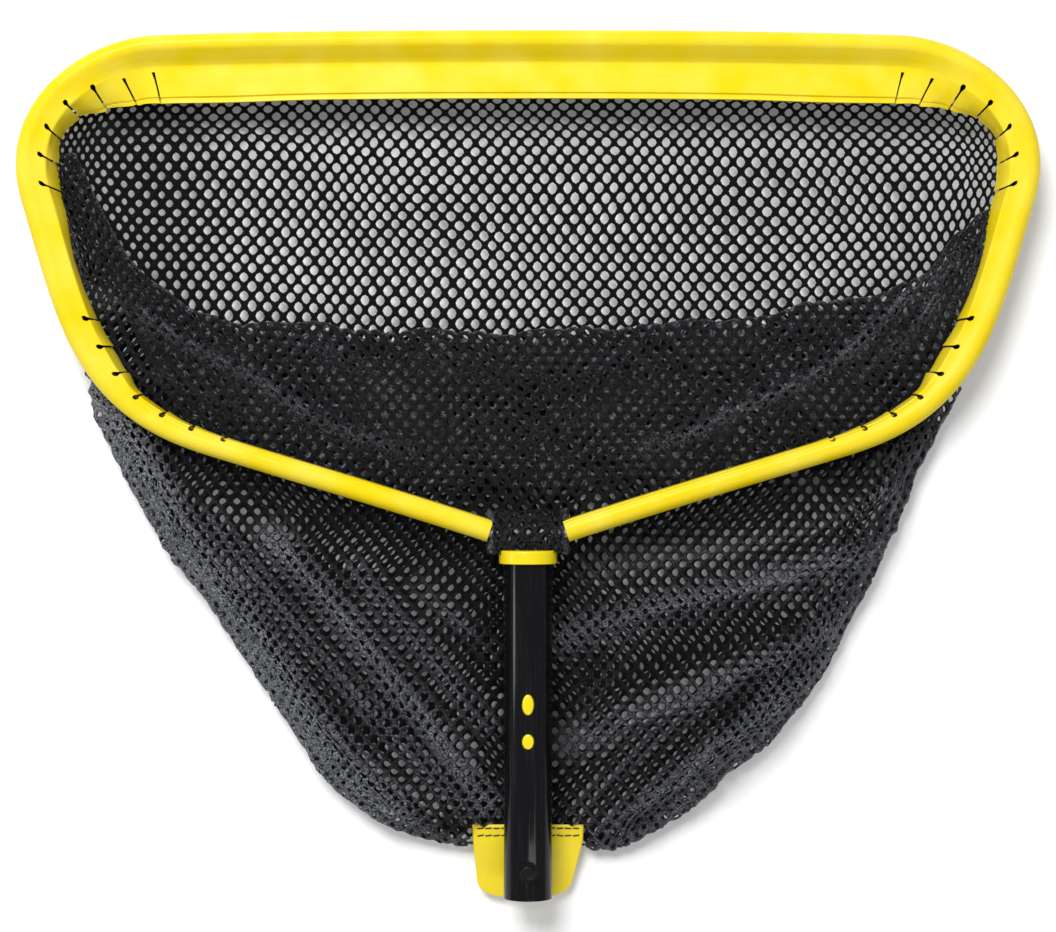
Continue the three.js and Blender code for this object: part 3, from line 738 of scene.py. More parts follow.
def tab_stitches(mat):
    """Two rows of thread across the tab's sewn root."""
    rng = np.random.default_rng(5)
    t = np.linspace(0, 1, 9)
    z = TAB_Z + TAB_THICK / 2 + THREAD_R * np.sin(np.pi * t) ** 0.5 - 0.25
    paths = []
    for y in STITCH_ROWS:
        for x in np.arange(-28.0, 27.0, STITCH_PITCH):
            slant = rng.uniform(-0.3, 0.3)
            paths.append(np.stack([x + STITCH_LENGTH * t, HANDLE_END + y + slant * (t - 0.5) * 2, z], 1))
    stitches = many("tab_stitches", [tube_along(p, THREAD_R, 8) for p in paths], mat)
    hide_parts("tab_stitch_row_1", "tab_stitch_row_2")
    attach(stitches, ROOT)


def many(name, bodies, mat):
    """One object from several closed bodies, each a stack of rings."""
    verts, faces, base = [], [], 0
    for rings in bodies:
        count, sides = rings.shape[:2]
        verts.append(rings.reshape(-1, 3))
        faces += (ring_faces(count, sides) + base).tolist()
        faces += [[base + end + i for i in range(sides)] for end in (0, (count - 1) * sides)]
        base += count * sides
    return new_object(name, np.concatenate(verts), faces, mat, 60)


# ---- Net ----
class Cloth:
    """A flat sheet laid out in space by lay(), read between the points of a fine grid."""

    def __init__(self, low, high, step, lay):
        u, v = (np.arange(a, b + step, step) for a, b in zip(low, high))
        self.low, self.high, self.step = np.array(low, float), np.array(high, float), step
        self.points = lay(np.stack(np.meshgrid(u, v, indexing="ij"), -1))
        up = np.cross(np.gradient(self.points, axis=0), np.gradient(self.points, axis=1))
        self.up = up / np.maximum(np.linalg.norm(up, axis=-1, keepdims=True), 1e-9)

    def at(self, flat):
        grid = (flat - self.low) / self.step
        most = np.array(self.points.shape[:2]) - 2
        whole = np.clip(np.floor(grid).astype(int), 0, most)
        f = np.clip(grid - whole, 0, 1)
        i, j = whole[..., 0], whole[..., 1]
        f0, f1 = f[..., :1], f[..., 1:]
        read = lambda t: ((t[i, j] * (1 - f0) + t[i + 1, j] * f0) * (1 - f1)
                          + (t[i, j + 1] * (1 - f0) + t[i + 1, j + 1] * f0) * f1)
        up = read(self.up)
        return read(self.points), up / np.maximum(np.linalg.norm(up, axis=-1, keepdims=True), 1e-9)


# One stitch of the knit: its opening's eight points are 0 to 7 and its six corners are 8 to 13.
STITCH_FACES = np.array([
    (0, 13, 8), (0, 8, 1), (1, 8, 9), (1, 9, 2), (2, 9, 3), (3, 9, 10), (3, 10, 4), (4, 10, 11), (4, 11, 5),
    (5, 11, 12), (5, 12, 6), (6, 12, 7), (7, 12, 13), (7, 13, 0),
])
GRAIN = 0.01  # corners nearer than this are one


def stitch_centres(low, high):
    j = np.arange(math.ceil(low[1] / ROW_PITCH) + 1, math.floor(high[1] / ROW_PITCH))
    i = np.arange(math.ceil(low[0] / HOLE_PITCH) + 1, math.floor(high[0] / HOLE_PITCH) - 1)
    grid_i, grid_j = np.meshgrid(i, j, indexing="ij")
    return np.stack([(grid_i + 0.5 * (grid_j % 2)) * HOLE_PITCH, grid_j * ROW_PITCH], -1).reshape(-1, 2)


def plain(places):
    return np.zeros(len(places))


def shared_corners(centres):
    """The stitches' corners, each listed once, and the numbers of each stitch's six."""
    rise = (ROW_PITCH**2 - (HOLE_PITCH / 2) ** 2) / (2 * ROW_PITCH)
    wide, tall = HOLE_PITCH / 2, ROW_PITCH - rise
    around = [(wide, rise), (0, tall), (-wide, rise), (-wide, -rise), (0, -tall), (wide, -rise)]
    keys = np.round((centres[:, None] + np.array(around)) / GRAIN).astype(int).reshape(-1, 2)
    unique, corner = np.unique(keys, axis=0, return_inverse=True)
    return unique * GRAIN, corner.reshape(len(centres), 6)


def knit_faces(corner, opening, total):
    """The stitches' tops and undersides, the walls of their openings and the cloth's outer rim. A point's
    underside is its number plus total."""
    top = np.concatenate([opening, corner], 1)[:, STITCH_FACES].reshape(-1, 3)
    a, b = opening, np.roll(opening, -1, 1)
    inner = [np.stack([a, b, b + total], -1), np.stack([a, b + total, a + total], -1)]
    first, second = corner, np.roll(corner, -1, 1)
    pair = np.sort(np.stack([first, second], -1).reshape(-1, 2), axis=1)
    _, which, uses = np.unique(pair, axis=0, return_inverse=True, return_counts=True)
    rim = uses[which.reshape(-1)] == 1
    a, b = first.reshape(-1)[rim], second.reshape(-1)[rim]
    outer = [np.stack([b, a, a + total], -1), np.stack([b, a + total, b + total], -1)]
    return np.concatenate([top, top[:, ::-1] + total] + [w.reshape(-1, 3) for w in inner + outer])


def knit_area(shut):
    """The knit's own flat area: its stitches without their openings, and half the openings' walls."""
    after = np.roll(OPENING, -1, 0)
    opening_area = np.sum(OPENING[:, 0] * after[:, 1] - OPENING[:, 1] * after[:, 0]) / 2
    walls = np.hypot(*(after - OPENING).T).sum() * YARN_RIM
    stitch = HOLE_PITCH * ROW_PITCH - opening_area * np.mean(shut**2) + walls * np.mean(shut)
    return float(len(shut) * stitch * MM * MM)


def knit(name, cloth, keep, mat, seed, replaced=(), painted_sheen=plain, closing=plain, sheen_level=0.8):
    """The cloth as an open knit: a lattice of six-sided stitches, each with its own opening. The sheen
    function says how grey the yarn is painted at a place, as painted sheen, closing() how far the openings
    are drawn shut there."""
    rng = np.random.default_rng(seed)
    centres = stitch_centres(cloth.low, cloth.high)
    centres = centres[keep(centres)]
    count = len(centres)
    corners, corner = shared_corners(centres)
    corners = corners + rng.uniform(-0.2, 0.2, corners.shape)
    shut = 1 - closing(centres)
    size = shut[:, None, None] * (1 + 0.05 * rng.standard_normal((count, 1, 2)).clip(-2, 2))
    holes = centres[:, None] + rng.uniform(-0.15, 0.15, (count, 1, 2)) + size * OPENING
    points, up = cloth.at(np.concatenate([corners, holes.reshape(-1, 2)]))
    thick = np.repeat([YARN_HALF, YARN_RIM], [len(corners), count * 8])[:, None]
    opening = len(corners) + np.arange(count * 8).reshape(count, 8)
    verts = np.concatenate([points + up * thick, points - up * thick])
    obj = new_object(name, verts, knit_faces(corner, opening, len(points)).tolist(), mat, 0, recalc=False)
    # Painted sheen: the yarn is painted greyer where the cloth slopes steeply and where the sheen function
    # says, standing in for the sheen the light puts there.
    steep = np.maximum(sheen_level * smoothstep(0.08, 0.7, 1 - up[:, 2]), painted_sheen(points[:, :2]))
    sheen_paint = obj.data.attributes.new("sheen_paint", "FLOAT", "POINT")
    sheen_paint.data.foreach_set("value", np.concatenate([steep, steep]).astype(np.float32))
    if replaced:
        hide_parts(*replaced)
    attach(obj, ROOT)
    width, length = (centres.max(0) - centres.min(0)) * MM
    return obj, (float(width), float(length)), knit_area(shut)


# ---- The net's lines, as distances from the middle and from the handle's end ----
FLOOR_Z, MIDDLE_Z, UPPER_Z = 1.6, 3.2, 5.6
LINE_B = 207.0  # where the floor panel ends under the pouch
# The bag's own fold, from the left side round the tail to the right side.
FOLD = smooth_line(from_end([
    (-256, 306), (-250.5, 297), (-244.5, 276), (-237.5, 259), (-226.5, 237), (-209, 206), (-197.5, 186),
    (-183.5, 169), (-170.5, 151), (-144, 110), (-127, 86), (-113, 64), (-89, 44.5), (-66, 33), (-38, 26),
    (0, 24.5), (29, 24.5), (49, 24.5), (77, 38), (96, 51.5), (111, 67), (133, 83), (149.5, 103),
    (166, 125), (178.5, 151), (188, 169), (196.5, 187), (207.5, 212), (214.5, 231), (223.5, 249),
    (235, 271), (247, 292), (256, 306),
]))
FOLD_IN = -normals_of(FOLD)
TAIL_Z = 1.3  # the pleated cloth's height behind the pouch, under it
# The pleat's edge across the mouth.
EDGE_A = np.array([
    (-262, 410), (-243, 379), (-228, 354), (-206, 335), (-184, 320), (-166, 316.5), (-127, 315),
    (-78, 311), (-4, 310), (55, 313.5), (106, 317), (142, 321.5), (160, 326.5), (185, 329.5), (204, 335),
    (218, 337.5), (228, 343), (236, 353), (243, 361), (262, 372),
])
# The cloth's way up to the hem: inset and height, and how gathered each stretch is from the floor up.
CLIMB = np.array([(6.5, 18.0), (10, 17.4), (14.5, 16.2), (18, 13.0), (22, 9.0), (28, 6.6), (38, 4.8),
                  (55, 3.2), (75, 2.2), (95, 1.6)])
SLACK = np.array([1, 1.05, 1.3, 1.6, 1.8, 1.7, 1.4, 1.2, 1.1])
CLIMB_GONE = np.concatenate([[0], np.cumsum(np.hypot(*np.diff(CLIMB[::-1], axis=0).T) * SLACK)])
CLOTH_EDGE = CLIMB[-1, 0] - CLIMB_GONE[-1]


def ripple(places, seed, size, shortest=14, longest=60, waves=9):
    """Gentle seeded unevenness."""
    rng = np.random.default_rng(seed)
    total = np.zeros(places.shape[:-1])
    for _ in range(waves):
        turn, length, start = rng.uniform([0, shortest, 0], [np.pi, longest, 2 * np.pi])
        along = places[..., 0] * math.cos(turn) + places[..., 1] * math.sin(turn)
        total += np.sin(2 * np.pi * along / length + start)
    return size * total / math.sqrt(waves)


def warp(flat, seed, size=1.3):
    """The knit's own unevenness in plan, and its rows' slight tilt on the left."""
    moved = flat.copy()
    moved[..., 0] += ripple(flat, seed, size, 60, 190, 6)
    moved[..., 1] += ripple(flat, seed + 1, size, 50, 170, 6) - 0.02 * np.minimum(flat[..., 0], 0)
    return moved


def pucker(plan, z, ridges):
    """Raises a soft ridge along each line and draws the cloth into it. A ridge is (line, height,
    width)."""
    for line, height, width in ridges:
        path = smooth_line(from_end(line), 2.0)
        gap, best, off = nearest(plan, path)
        ends = np.minimum(best, len(path) - 1 - best) * 2.0
        strength = smoothstep(-2, 22, ends) * np.exp(-((gap / (4 * width)) ** 4))
        drawn = min(0.5 * height**2 / width, 0.5 * width)
        unit = off / np.maximum(gap, 1e-6)[:, None]
        shape = z.shape
        z = z + (strength * height * np.exp(-((gap / width) ** 2))).reshape(shape)
        pull = strength * drawn * np.tanh(gap / width) * np.exp(-gap / (5 * width))
        plan = plan - (unit * pull[:, None]).reshape(plan.shape)
    return plan, z


def climbing(plan, z, reach=1.0):
    """Lifts the cloth's border from the floor up to the hem, at the nose and the sides."""
    inset, inwards = inset_of(plan)
    lift = smoothstep(288, 330, plan[..., 1] - HANDLE_END) * reach
    gone = CLIMB[-1, 0] - inset
    n = np.interp(gone, CLIMB_GONE, CLIMB[::-1, 0])
    high = np.interp(gone, CLIMB_GONE, CLIMB[::-1, 1]) - CLIMB[-1, 1]
    border = (inset < CLIMB[-1, 0]) * lift
    return plan + inwards * ((n - inset) * border)[..., None], z + high * border


FLOOR_RIDGES = [
    ([(-205, 431), (-165, 421), (-130, 415), (-60, 408)], 2.2, 5),
    ([(-60, 402), (20, 396), (110, 392), (170, 384)], 1.3, 6),
    ([(176, 392), (186, 377), (198, 362), (212, 345)], 3.0, 5),
    ([(140, 398), (152, 380), (172, 368), (196, 354)], 2.0, 5),
    ([(-262, 400), (-246, 430), (-225, 448)], 3.0, 6),
    ([(-252, 372), (-248, 400), (-236, 425)], 2.5, 5),
    ([(246, 375), (250, 400), (240, 428)], 3.0, 6),
    ([(-160, 345), (-90, 330), (-20, 326)], 1.2, 7),
    ([(20, 345), (90, 352), (150, 350)], 1.2, 7),
    ([(-120, 452), (-20, 446), (90, 450), (170, 444)], 1.4, 7),
]


def lay_floor(flat):
    plan = warp(flat, 21)
    plan, z = pucker(plan, np.full(plan.shape[:-1], FLOOR_Z), FLOOR_RIDGES)
    z = z + np.abs(ripple(plan, 31, 0.6))
    plan, z = climbing(plan, z)
    return np.concatenate([plan, z[..., None]], -1)


def keep_floor(centres):
    inset, _ = inset_of(centres)
    up = centres[:, 1] - HANDLE_END
    return (up > LINE_B) & (inset > np.where(up > 318, CLOTH_EDGE + 1, 5))


PLEAT_RIDGES = [
    ([(236, 352), (210, 328), (197, 317), (180, 301), (163, 289), (145, 279), (116, 267), (86, 252),
      (66, 248)], 7.0, 3.6),
    ([(246, 338), (225, 318), (205, 302), (185, 288)], 5.0, 3.5),
    ([(-130, 305), (-110, 300), (-90, 291)], 4.0, 3.5),
    ([(-234, 328), (-190, 304), (-152, 285), (-129, 270), (-110, 258), (-68, 245)], 6.0, 3.6),
    ([(-240, 300), (-215, 288), (-180, 276), (-150, 262)], 3.0, 5),
    ([(-60, 296), (-20, 286), (30, 288), (70, 296)], 2.2, 6),
    ([(-40, 262), (0, 256), (40, 262)], 2.6, 5),
    ([(120, 306), (150, 309), (190, 318)], 2.0, 5),
]
# How much of its flat size the cloth keeps across and along, and about which distance it is drawn together.
PLEAT_GATHER = np.array([0.93, 0.88])
PLEAT_ABOUT, UPPER_ABOUT = 310, 200
UNDER_SHEAR, UNDER_GATHER = 0.38, 0.8  # the layer under the fold lies askew and bunched
UNDER_REACH = 84  # how far back that layer goes


def gathered(flat, amount, about):
    """Flat cloth drawn together about a distance from the handle's end."""
    centre = np.array([0, HANDLE_END + about])
    return centre + (flat - centre) * amount


def within_fold(places):
    """How far inside the bag's fold each place is."""
    _, best, off = nearest(places, FOLD)
    return (off * FOLD_IN[best]).sum(1)


def edge_a(x):
    """The pleat's edge, slightly wavy, at a distance from the middle."""
    return np.interp(x, EDGE_A[:, 0], EDGE_A[:, 1]) + 1.2 * np.sin(x / 11) + 0.8 * np.sin(x / 4.7 + 1)


def lay_pleat(flat):
    """The cloth on top, from the tail up to the pleat's edge, rolled under there and back below."""
    plan = warp(gathered(flat, PLEAT_GATHER, PLEAT_ABOUT), 41, 1.0)
    x, up = plan[..., 0], plan[..., 1] - HANDLE_END
    edge = edge_a(x)
    over = up - edge
    roll = (UPPER_Z - MIDDLE_Z) / 2
    turn = np.clip(over / roll, 0, np.pi)
    below = np.maximum(over - np.pi * roll, 0) * UNDER_GATHER
    x = x + UNDER_SHEAR * below
    lying = np.minimum(up, edge) + roll * np.sin(turn) - below
    z = MIDDLE_Z + roll + roll * np.cos(turn)
    back = smoothstep(190, 222, up) * (over < 0) + (over >= 0)
    z = np.where(over < 0, TAIL_Z + (z - TAIL_Z) * back, z)
    plan = np.stack([x, lying + HANDLE_END], -1)
    on_top = smoothstep(0, -12, over)
    free, high = pucker(plan, z, PLEAT_RIDGES)
    near = smoothstep(205, 235, up) * on_top
    plan = plan + (free - plan) * near[..., None]
    z = z + (high - z) * near + np.abs(ripple(plan, 51, 0.5, 10, 45)) * on_top * back
    plan, z = climbing(plan, z)
    return np.concatenate([plan, z[..., None]], -1)


def keep_pleat(centres):
    drawn = gathered(centres, PLEAT_GATHER, PLEAT_ABOUT)
    up = drawn[:, 1] - HANDLE_END
    edge = edge_a(drawn[:, 0])
    below = np.maximum(up - edge - (UPPER_Z - MIDDLE_Z) / 2 * np.pi, 0) * UNDER_GATHER
    mirrored = np.where(up > edge, edge - below, up)
    lying = np.stack([drawn[:, 0] + UNDER_SHEAR * below, mirrored + HANDLE_END], -1)
    inset, _ = inset_of(lying)
    side = np.where(mirrored > 312, inset > CLOTH_EDGE + 6, within_fold(lying) > 5)
    over_floor = (up <= edge) | (mirrored > LINE_B)
    return side & over_floor & (np.abs(lying[:, 0]) < 285) & (below < UNDER_REACH) & (mirrored > 24)


UPPER_RIDGES = [
    ([(-140, 196), (-105, 158), (-72, 115), (-45, 80), (-24, 50)], 10, 6.5),
    ([(-175, 208), (-140, 165), (-105, 122), (-70, 85), (-36, 50)], 7, 6),
    ([(-95, 180), (-70, 150), (-45, 120), (-24, 95)], 7, 6),
    ([(-212, 232), (-184, 192), (-150, 145), (-116, 100), (-84, 66)], 7, 7),
    ([(-60, 170), (-40, 150), (-20, 135)], 5, 5),
    ([(200, 190), (140, 174), (80, 160), (18, 142)], 9, 7),
    ([(178, 121), (120, 90), (80, 62), (38, 33)], 8, 6),
    ([(212, 230), (160, 202), (100, 188), (40, 178)], 5, 6),
    ([(188, 152), (140, 132), (85, 108), (24, 84)], 8, 7),
    ([(120, 120), (80, 94), (48, 66), (28, 46)], 6, 5),
    ([(60, 150), (42, 120), (28, 90)], 4, 5),
]
UPPER_GATHER = np.array([0.95, 0.92])
RIM_BAND, RIM_SLACK = 34.0, 17.0
UPPER_FOOT = 1.0  # height of the cloth's middle where it lies on the ground
HEM_HEIGHT, LOBE_HEIGHT, RIM_LIFT = 17.0, 7.5, 6.0


def throat_side(x):
    """0 under the handle, 1 out at the sides."""
    return smoothstep(13, 40, np.abs(x))


def draw_in(plan, off, inward):
    """Bunches the cloth along the fold. Gives its plan and how far inside the fold it then is."""
    loose = (off * inward).sum(-1)
    bunch = RIM_SLACK * smoothstep(36, 70, np.abs(plan[..., 0])) * smoothstep(RIM_BAND, -RIM_SLACK, loose)
    return plan + inward * bunch[..., None], loose + bunch


def upper_height(flat, plan, within, beyond, rim):
    """Height from the hem over soft lobes to the puffed rim, low in the valley under the handle."""
    side = throat_side(plan[..., 0])
    t = np.clip(beyond / np.maximum(beyond + np.maximum(within, 0), 1e-3), 0, 1)
    wide = smoothstep(0, 60, beyond + np.maximum(within, 0))
    z = HEM_HEIGHT * (1 - t) + rim * t + wide * LOBE_HEIGHT * np.sin(np.pi * t) ** 0.9
    z = z + wide * side * ripple(flat, 71, 1.6, 18, 55) * np.sin(np.pi * np.clip(t, 0.03, 0.97))
    band = smoothstep(0, 8, within) * smoothstep(RIM_BAND, 12, within) * side * wide
    z = z + band * (RIM_LIFT + ripple(flat, 73, 1.9, 7, 20))
    valley = np.interp(plan[..., 1] - HANDLE_END, [30, 60, 150, 195], [3.5, 6.0, 6.4, 5.2])
    return valley + (z - valley) * side


def roll_under(flat, plan, z, within, inward, roll):
    """Rounds the cloth down over the bag's fold and back below it."""
    turn = np.clip((roll - within) / roll, 0, np.pi)
    under = np.maximum(roll - within - np.pi * roll, 0)
    rounding = within < roll
    at = np.where(rounding, roll - roll * np.sin(turn) + under, within)
    bumps = ripple(flat, 75, 0.7, 5, 13) * smoothstep(12, 2, within)
    plan = plan + inward * (at - within + bumps)[..., None]
    return plan, np.where(rounding, UPPER_FOOT + 2 * roll - roll * (1 - np.cos(turn)), z)


def lay_upper(flat):
    """The cloth from the hem under the arms, over soft lobes, back and down round the fold."""
    plan = warp(gathered(flat, UPPER_GATHER, UPPER_ABOUT), 61, 1.8)
    _, best, off = nearest(plan, FOLD)
    inward = FOLD_IN[best].reshape(plan.shape)
    plan, within = draw_in(plan, off.reshape(plan.shape), inward)
    beyond = np.maximum(-inset_of(plan)[0], 0)
    x = plan[..., 0]
    puff = 2.9 + 1.4 * np.sin(x / 17 + 1) + 1.0 * np.sin(x / 7.3)
    roll = 1.7 + puff * smoothstep(42, 80, np.abs(x))
    z = upper_height(flat, plan, within, beyond, UPPER_FOOT + 2 * roll)
    free, high = pucker(plan, z, UPPER_RIDGES)
    near = smoothstep(2, 16, within) * smoothstep(0, 10, beyond) * throat_side(x)
    plan = plan + (free - plan) * near[..., None]
    z = z + (high - z) * near
    plan, z = roll_under(flat, plan, z, within, inward, roll)
    return np.concatenate([plan, z[..., None]], -1)


def keep_upper(centres):
    drawn = gathered(centres, UPPER_GATHER, UPPER_ABOUT)
    inset, _ = inset_of(drawn)
    x, up = drawn[:, 0], drawn[:, 1] - HANDLE_END
    edge = -15 - RIM_SLACK * smoothstep(36, 70, np.abs(x))
    on_tab = (np.abs(x) < 34.5) & (up < 41)
    under_arms = np.where(np.abs(x) < 24, up < 200, inset < 5)
    return (within_fold(drawn) > edge) & under_arms & (up < 296) & (np.abs(x) < 256) & ~on_tab


def lay_throat(layer):
    """Cloth drawn together over the ends of the hem where they enter the collar, in several layers."""
    def lay(flat):
        u, v = flat[..., 0], flat[..., 1]
        skew = (0.0, 0.35, -0.3)[layer]
        x = 24 * np.tanh((u + skew * v) / 29) + 0.5 * np.sin(v / 2.3 + layer)
        y = HANDLE_END + 201 + 0.8 * v + 1.0 * np.sin(u / 4.1 + 2 * layer)
        high = AXIS_Z + 6.6 - 1.1 * layer
        z = 9 + (high - 9) * (1 - smoothstep(18, 26, np.abs(x)))
        z = z + 0.6 * np.sin(u / 3.4 + 0.3 * v + layer) + ripple(flat, 81 + layer, 0.5, 9, 22)
        return np.stack([x, y, z], -1)
    return lay


# Used for the painted sheen on the net and for how far its openings are shut.
def ridge_weight(places, ridges):
    """1 on the tallest ridge of the cloth, less on lower ones, falling to 0 beside each."""
    tallest = max(height for _, height, _ in ridges)
    ridge_sheen = np.zeros(len(places))
    for line, height, width in ridges:
        gap, _, _ = nearest(places, smooth_line(from_end(line)))
        ridge_sheen = np.maximum(ridge_sheen, (height / tallest) ** 2 * np.exp(-((gap / (1.4 * width)) ** 2)))
    return ridge_sheen


# Painted sheen and glints on the pleated cloth: a little everywhere, more along its ridges.
def pleat_painted_sheen(places):
    return 0.05 + 0.2 * ridge_weight(places, PLEAT_RIDGES)


# Painted glints on the throat's cloth, the same everywhere.
def throat_painted_sheen(places):
    return np.full(len(places), 0.1)


def upper_painted_sheen(places):
    """Painted sheen: palest on the puffed rim, more so on the left, the side the light comes from, and on
    the long folds.
    """
    within = within_fold(places)
    left = smoothstep(60, -60, places[:, 0])
    low = smoothstep(190, 130, places[:, 1] - HANDLE_END)
    rim = smoothstep(31, 15, within) * smoothstep(38, 85, np.abs(places[:, 0]))
    rim = rim * (0.12 + 0.45 * low * (1 - left) + 0.88 * left)
    return np.maximum(rim, (0.75 + 0.1 * left) * ridge_weight(places, UPPER_RIDGES))


def floor_closing(centres):
    middle = 0.05 * smoothstep(440, 400, centres[:, 1] - HANDLE_END)
    x = centres[:, 0]
    return middle + 0.22 * smoothstep(-150, -225, x) + 0.03 * smoothstep(150, 230, x)


def pleat_closing(centres):
    """Partly shut all over, more so along the bag's fold."""
    drawn = gathered(centres, PLEAT_GATHER, PLEAT_ABOUT)
    return 0.15 + 0.25 * smoothstep(16, 6, within_fold(drawn))


def upper_closing(centres):
    """Partly shut along the bag's fold and on the tall ridges."""
    drawn = gathered(centres, UPPER_GATHER, UPPER_ABOUT)
    by_fold = 0.42 * smoothstep(10, -4, within_fold(drawn))
    return np.maximum(by_fold, 0.3 * ridge_weight(drawn, UPPER_RIDGES)) - 0.05


def net(mat):
    box = [(-312, HANDLE_END + 200), (312, HANDLE_END + 512)]
    floor = knit("net_floor", Cloth(*box, 2.5, lay_floor), keep_floor, mat, 1, ["net_lower_panel"],
                 closing=floor_closing)
    box = [(-310, HANDLE_END - 20), (310, HANDLE_END + 640)]
    pleat = knit("net_pleat", Cloth(*box, 1.6, lay_pleat), keep_pleat, mat, 2,
                 painted_sheen=pleat_painted_sheen, closing=pleat_closing)
    box = [(-300, HANDLE_END - 40), (300, HANDLE_END + 340)]
    upper = knit("net_upper", Cloth(*box, 1.6, lay_upper), keep_upper, mat, 3, ["net_upper_panel"],
                 painted_sheen=upper_painted_sheen, closing=upper_closing)
    soft = [(floor, "stretched", ["net_hem"]), (pleat, "folded", ["net_floor"]),
            (upper, "gathered", ["net_hem", "net_pleat"])]
    for layer in range(3):
        box = [(-60, -24), (60, 24)]
        inner = lambda c: (np.abs(c[:, 0]) < 46) & (np.abs(c[:, 1]) < 14)
        made = knit(f"throat_net_{layer + 1}", Cloth(*box, 1.5, lay_throat(layer)), inner, mat, 4 + layer,
                    ["throat_wrap"] if layer == 0 else (), painted_sheen=throat_painted_sheen)
        soft.append((made, "gathered", ["plug_collar"]))
    for (obj, flat, area), held, rests in soft:
        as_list(rests)


# The tape's section beside the edging: inset, height and the least gap to the flange.
TAPE_SIDE = [(7.5, 17.6, 5), (11, 17.2, 3.5), (14.5, 15.9, 2.2), (16.6, 13.2, 1.2), (17.2, 9.5, 0.9)]
TAPE_UNDER = 2.9  # the tape's depth under the nose's ramp


def tape_line(distance):
    """The tape's section at a distance from an arm's end: beside the flange, or under the nose's ramp."""
    crease, crease_z, lip, lip_z = eased(SECTIONS, np.array([distance]))[0, :4]
    nose = float(smoothstep(405, 445, distance))
    side = [(min(n, crease - back), z) for n, z, back in TAPE_SIDE]
    ramp_z = AXIS_Z - TAPE_UNDER
    under = [(8, 16.4), (12, 16), (crease, ramp_z + crease_z), (26, ramp_z + (crease_z + lip_z) / 2),
             (lip - 4.5, ramp_z + lip_z)]
    return (1 - nose) * np.array(side) + nose * np.array(under)


def hem_tape(mat):
    """The doubled edge of the net, sewn round the hem under the edging and along under the nose."""
    at = np.arange(150, OUTLINE_LENGTH - 150, 4.0)
    rings = []
    for s, wave in zip(at, 0.3 * np.sin(at / 7)):
        line = tape_line(min(s, OUTLINE_LENGTH - s))
        low = line[::-1] - [0.5, 0.8]
        rings.append([(*inside(s, n), z + wave) for n, z in np.vstack([line, low])])
    tape = loft("hem_tape", rings, mat, 60)
    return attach(tape, ROOT)


SEAM_IN, SEAM_REACH, SEAM_Z = 2.0, 228, 1.6  # how far inside the fold, out to the sides and up it lies
CORD_R, CORD_TWIST = 0.75, 0.2


def seam(mat):
    """The cord that closes the bag along its fold, thick and thin by turns."""
    beside = FOLD + FOLD_IN * SEAM_IN
    line = respaced(beside[np.abs(beside[:, 0]) < SEAM_REACH], 1.2)
    turn = np.arange(len(line)) * 0.9
    path = np.concatenate([line, np.full((len(line), 1), SEAM_Z)], 1)
    made = many("bag_seam_cord", [tube_along(path, CORD_R + CORD_TWIST * np.sin(turn), 9)], mat)
    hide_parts("bag_seam")
    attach(made, ROOT)


# ---- Floor, light and camera ----
WORLD_STRENGTH = 0.38
# Each light's name, place, target, size and watts.
LIGHTS = [
    ("key", (-0.6, 1.4, 2.3), (0, 0, 0), 1.3, 76),
    ("fill", (0.5, -1.6, 2.0), (0, 0, 0), 1.2, 16),
    ("side", (-1.9, -0.1, 0.75), (0, 0, 0), 0.35, 3),
    ("glint", (-1.3, 1.5, 1.7), (-0.25, 0.2, 0), 0.12, 4),
    ("glint", (1.3, 1.5, 1.7), (0.25, 0.2, 0), 0.12, 4),
]


def area_light(name, where, look_at, size, watts):
    data = bpy.data.lights.new(name, "AREA")
    data.shape, data.size, data.energy = "DISK", size, watts
    lamp = bpy.data.objects.new(name, data)
    bpy.context.collection.objects.link(lamp)
    lamp.location = where
    lamp.rotation_euler = (Vector(look_at) - Vector(where)).to_track_quat("-Z", "Y").to_euler()


FLOOR_GAP = 6.0  # the studio floor lies this far under the part, so light gets in below the net


def floor(mat):
    n, reach = 24, 3000
    line = np.linspace(-reach, reach, n)
    verts = [(x, y, -FLOOR_GAP) for x in line for y in line]
    faces = [(i * n + j, (i + 1) * n + j, (i + 1) * n + j + 1, i * n + j + 1)
             for i in range(n - 1) for j in range(n - 1)]
    made = new_object("studio_floor", verts, faces, mat, 0, recalc=False)


CAMERA_Y = -0.001
CAMERA_UP = 1.5  # above the handle's axis
SEEN_WIDTH = 0.5787  # at the handle's axis
SENSOR = 36


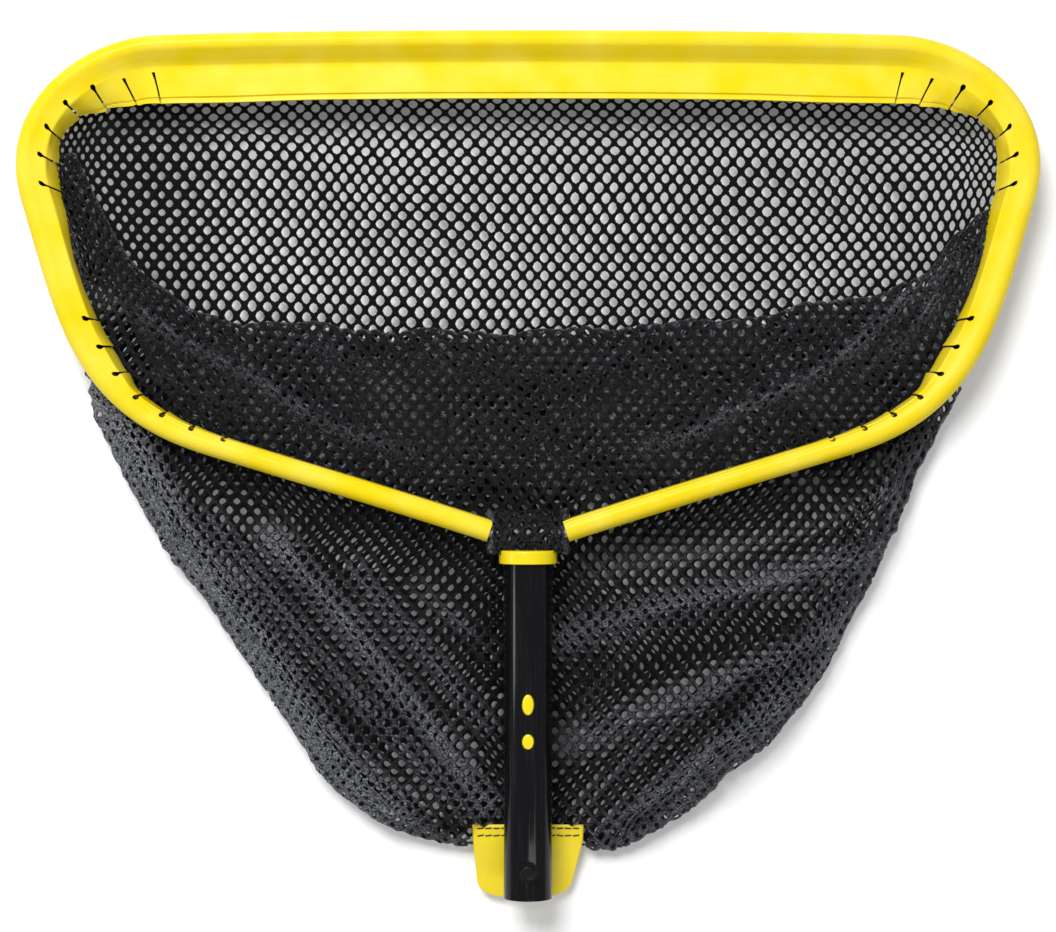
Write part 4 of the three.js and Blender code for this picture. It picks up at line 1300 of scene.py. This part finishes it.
def camera():
    data = bpy.data.cameras.new("camera")
    data.sensor_width = SENSOR
    data.lens = SENSOR * CAMERA_UP / SEEN_WIDTH
    data.clip_start, data.clip_end = 0.05, 20
    made = bpy.data.objects.new("camera", data)
    bpy.context.collection.objects.link(made)
    made.location = (0, CAMERA_Y, AXIS_Z * MM + CAMERA_UP)
    bpy.context.scene.camera = made


def light():
    world = bpy.data.worlds.new("studio")
    world.use_nodes = True
    world.node_tree.nodes["Background"].inputs["Color"].default_value = (1, 1, 1, 1)
    world.node_tree.nodes["Background"].inputs["Strength"].default_value = WORLD_STRENGTH
    bpy.context.scene.world = world
    for lamp in LIGHTS:
        area_light(*lamp)
    bpy.context.scene.view_settings.view_transform = "Standard"


def dress_nodes(metal, steel, knitted):
    """The CAD nodes that stay keep their shape and get real finishes."""
    for name, mat in (("frame_rod", metal), ("net_hem", knitted), ("clip_bend", steel),
                      ("clip_arm_top", steel), ("clip_arm_bottom", steel)):
        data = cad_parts[name].data
        data.materials.clear()
        data.materials.append(mat)


def main():
    vinyl, yellow, gloss = vinyl_material(), moulded_yellow_material(), gloss_black_material()
    black, thread = matt_black_material(), thread_material()
    # The yarn's black, and the blue-grey of its painted sheen.
    yarn = knit_material("knit_yarn", (0.0018, 0.0018, 0.002), (0.24, 0.25, 0.285))
    camera()
    light()
    floor(floor_material())
    edging(vinyl)
    handle_tube(gloss)
    plug(yellow)
    snap_button("button_top", 1, "clip_top", "snap_button_top", black)
    snap_button("button_bottom", -1, "clip_bottom", "snap_button_bottom", black)
    tab(tab_material())
    tab_stitches(thread)
    net(yarn)
    hem_tape(yarn)
    seam(thread)
    # The hem's yarn has a faint grey for painted sheen; the hem carries no sheen amount, so it stays black.
    dress_nodes(metal_material("aluminium", (0.5, 0.5, 0.5), 0.35),
                metal_material("spring_steel", (0.62, 0.62, 0.64), 0.3),
                knit_material("hem_yarn", (0.003, 0.003, 0.0035), (0.03, 0.03, 0.035)))


main()
bpy.context.view_layer.update()
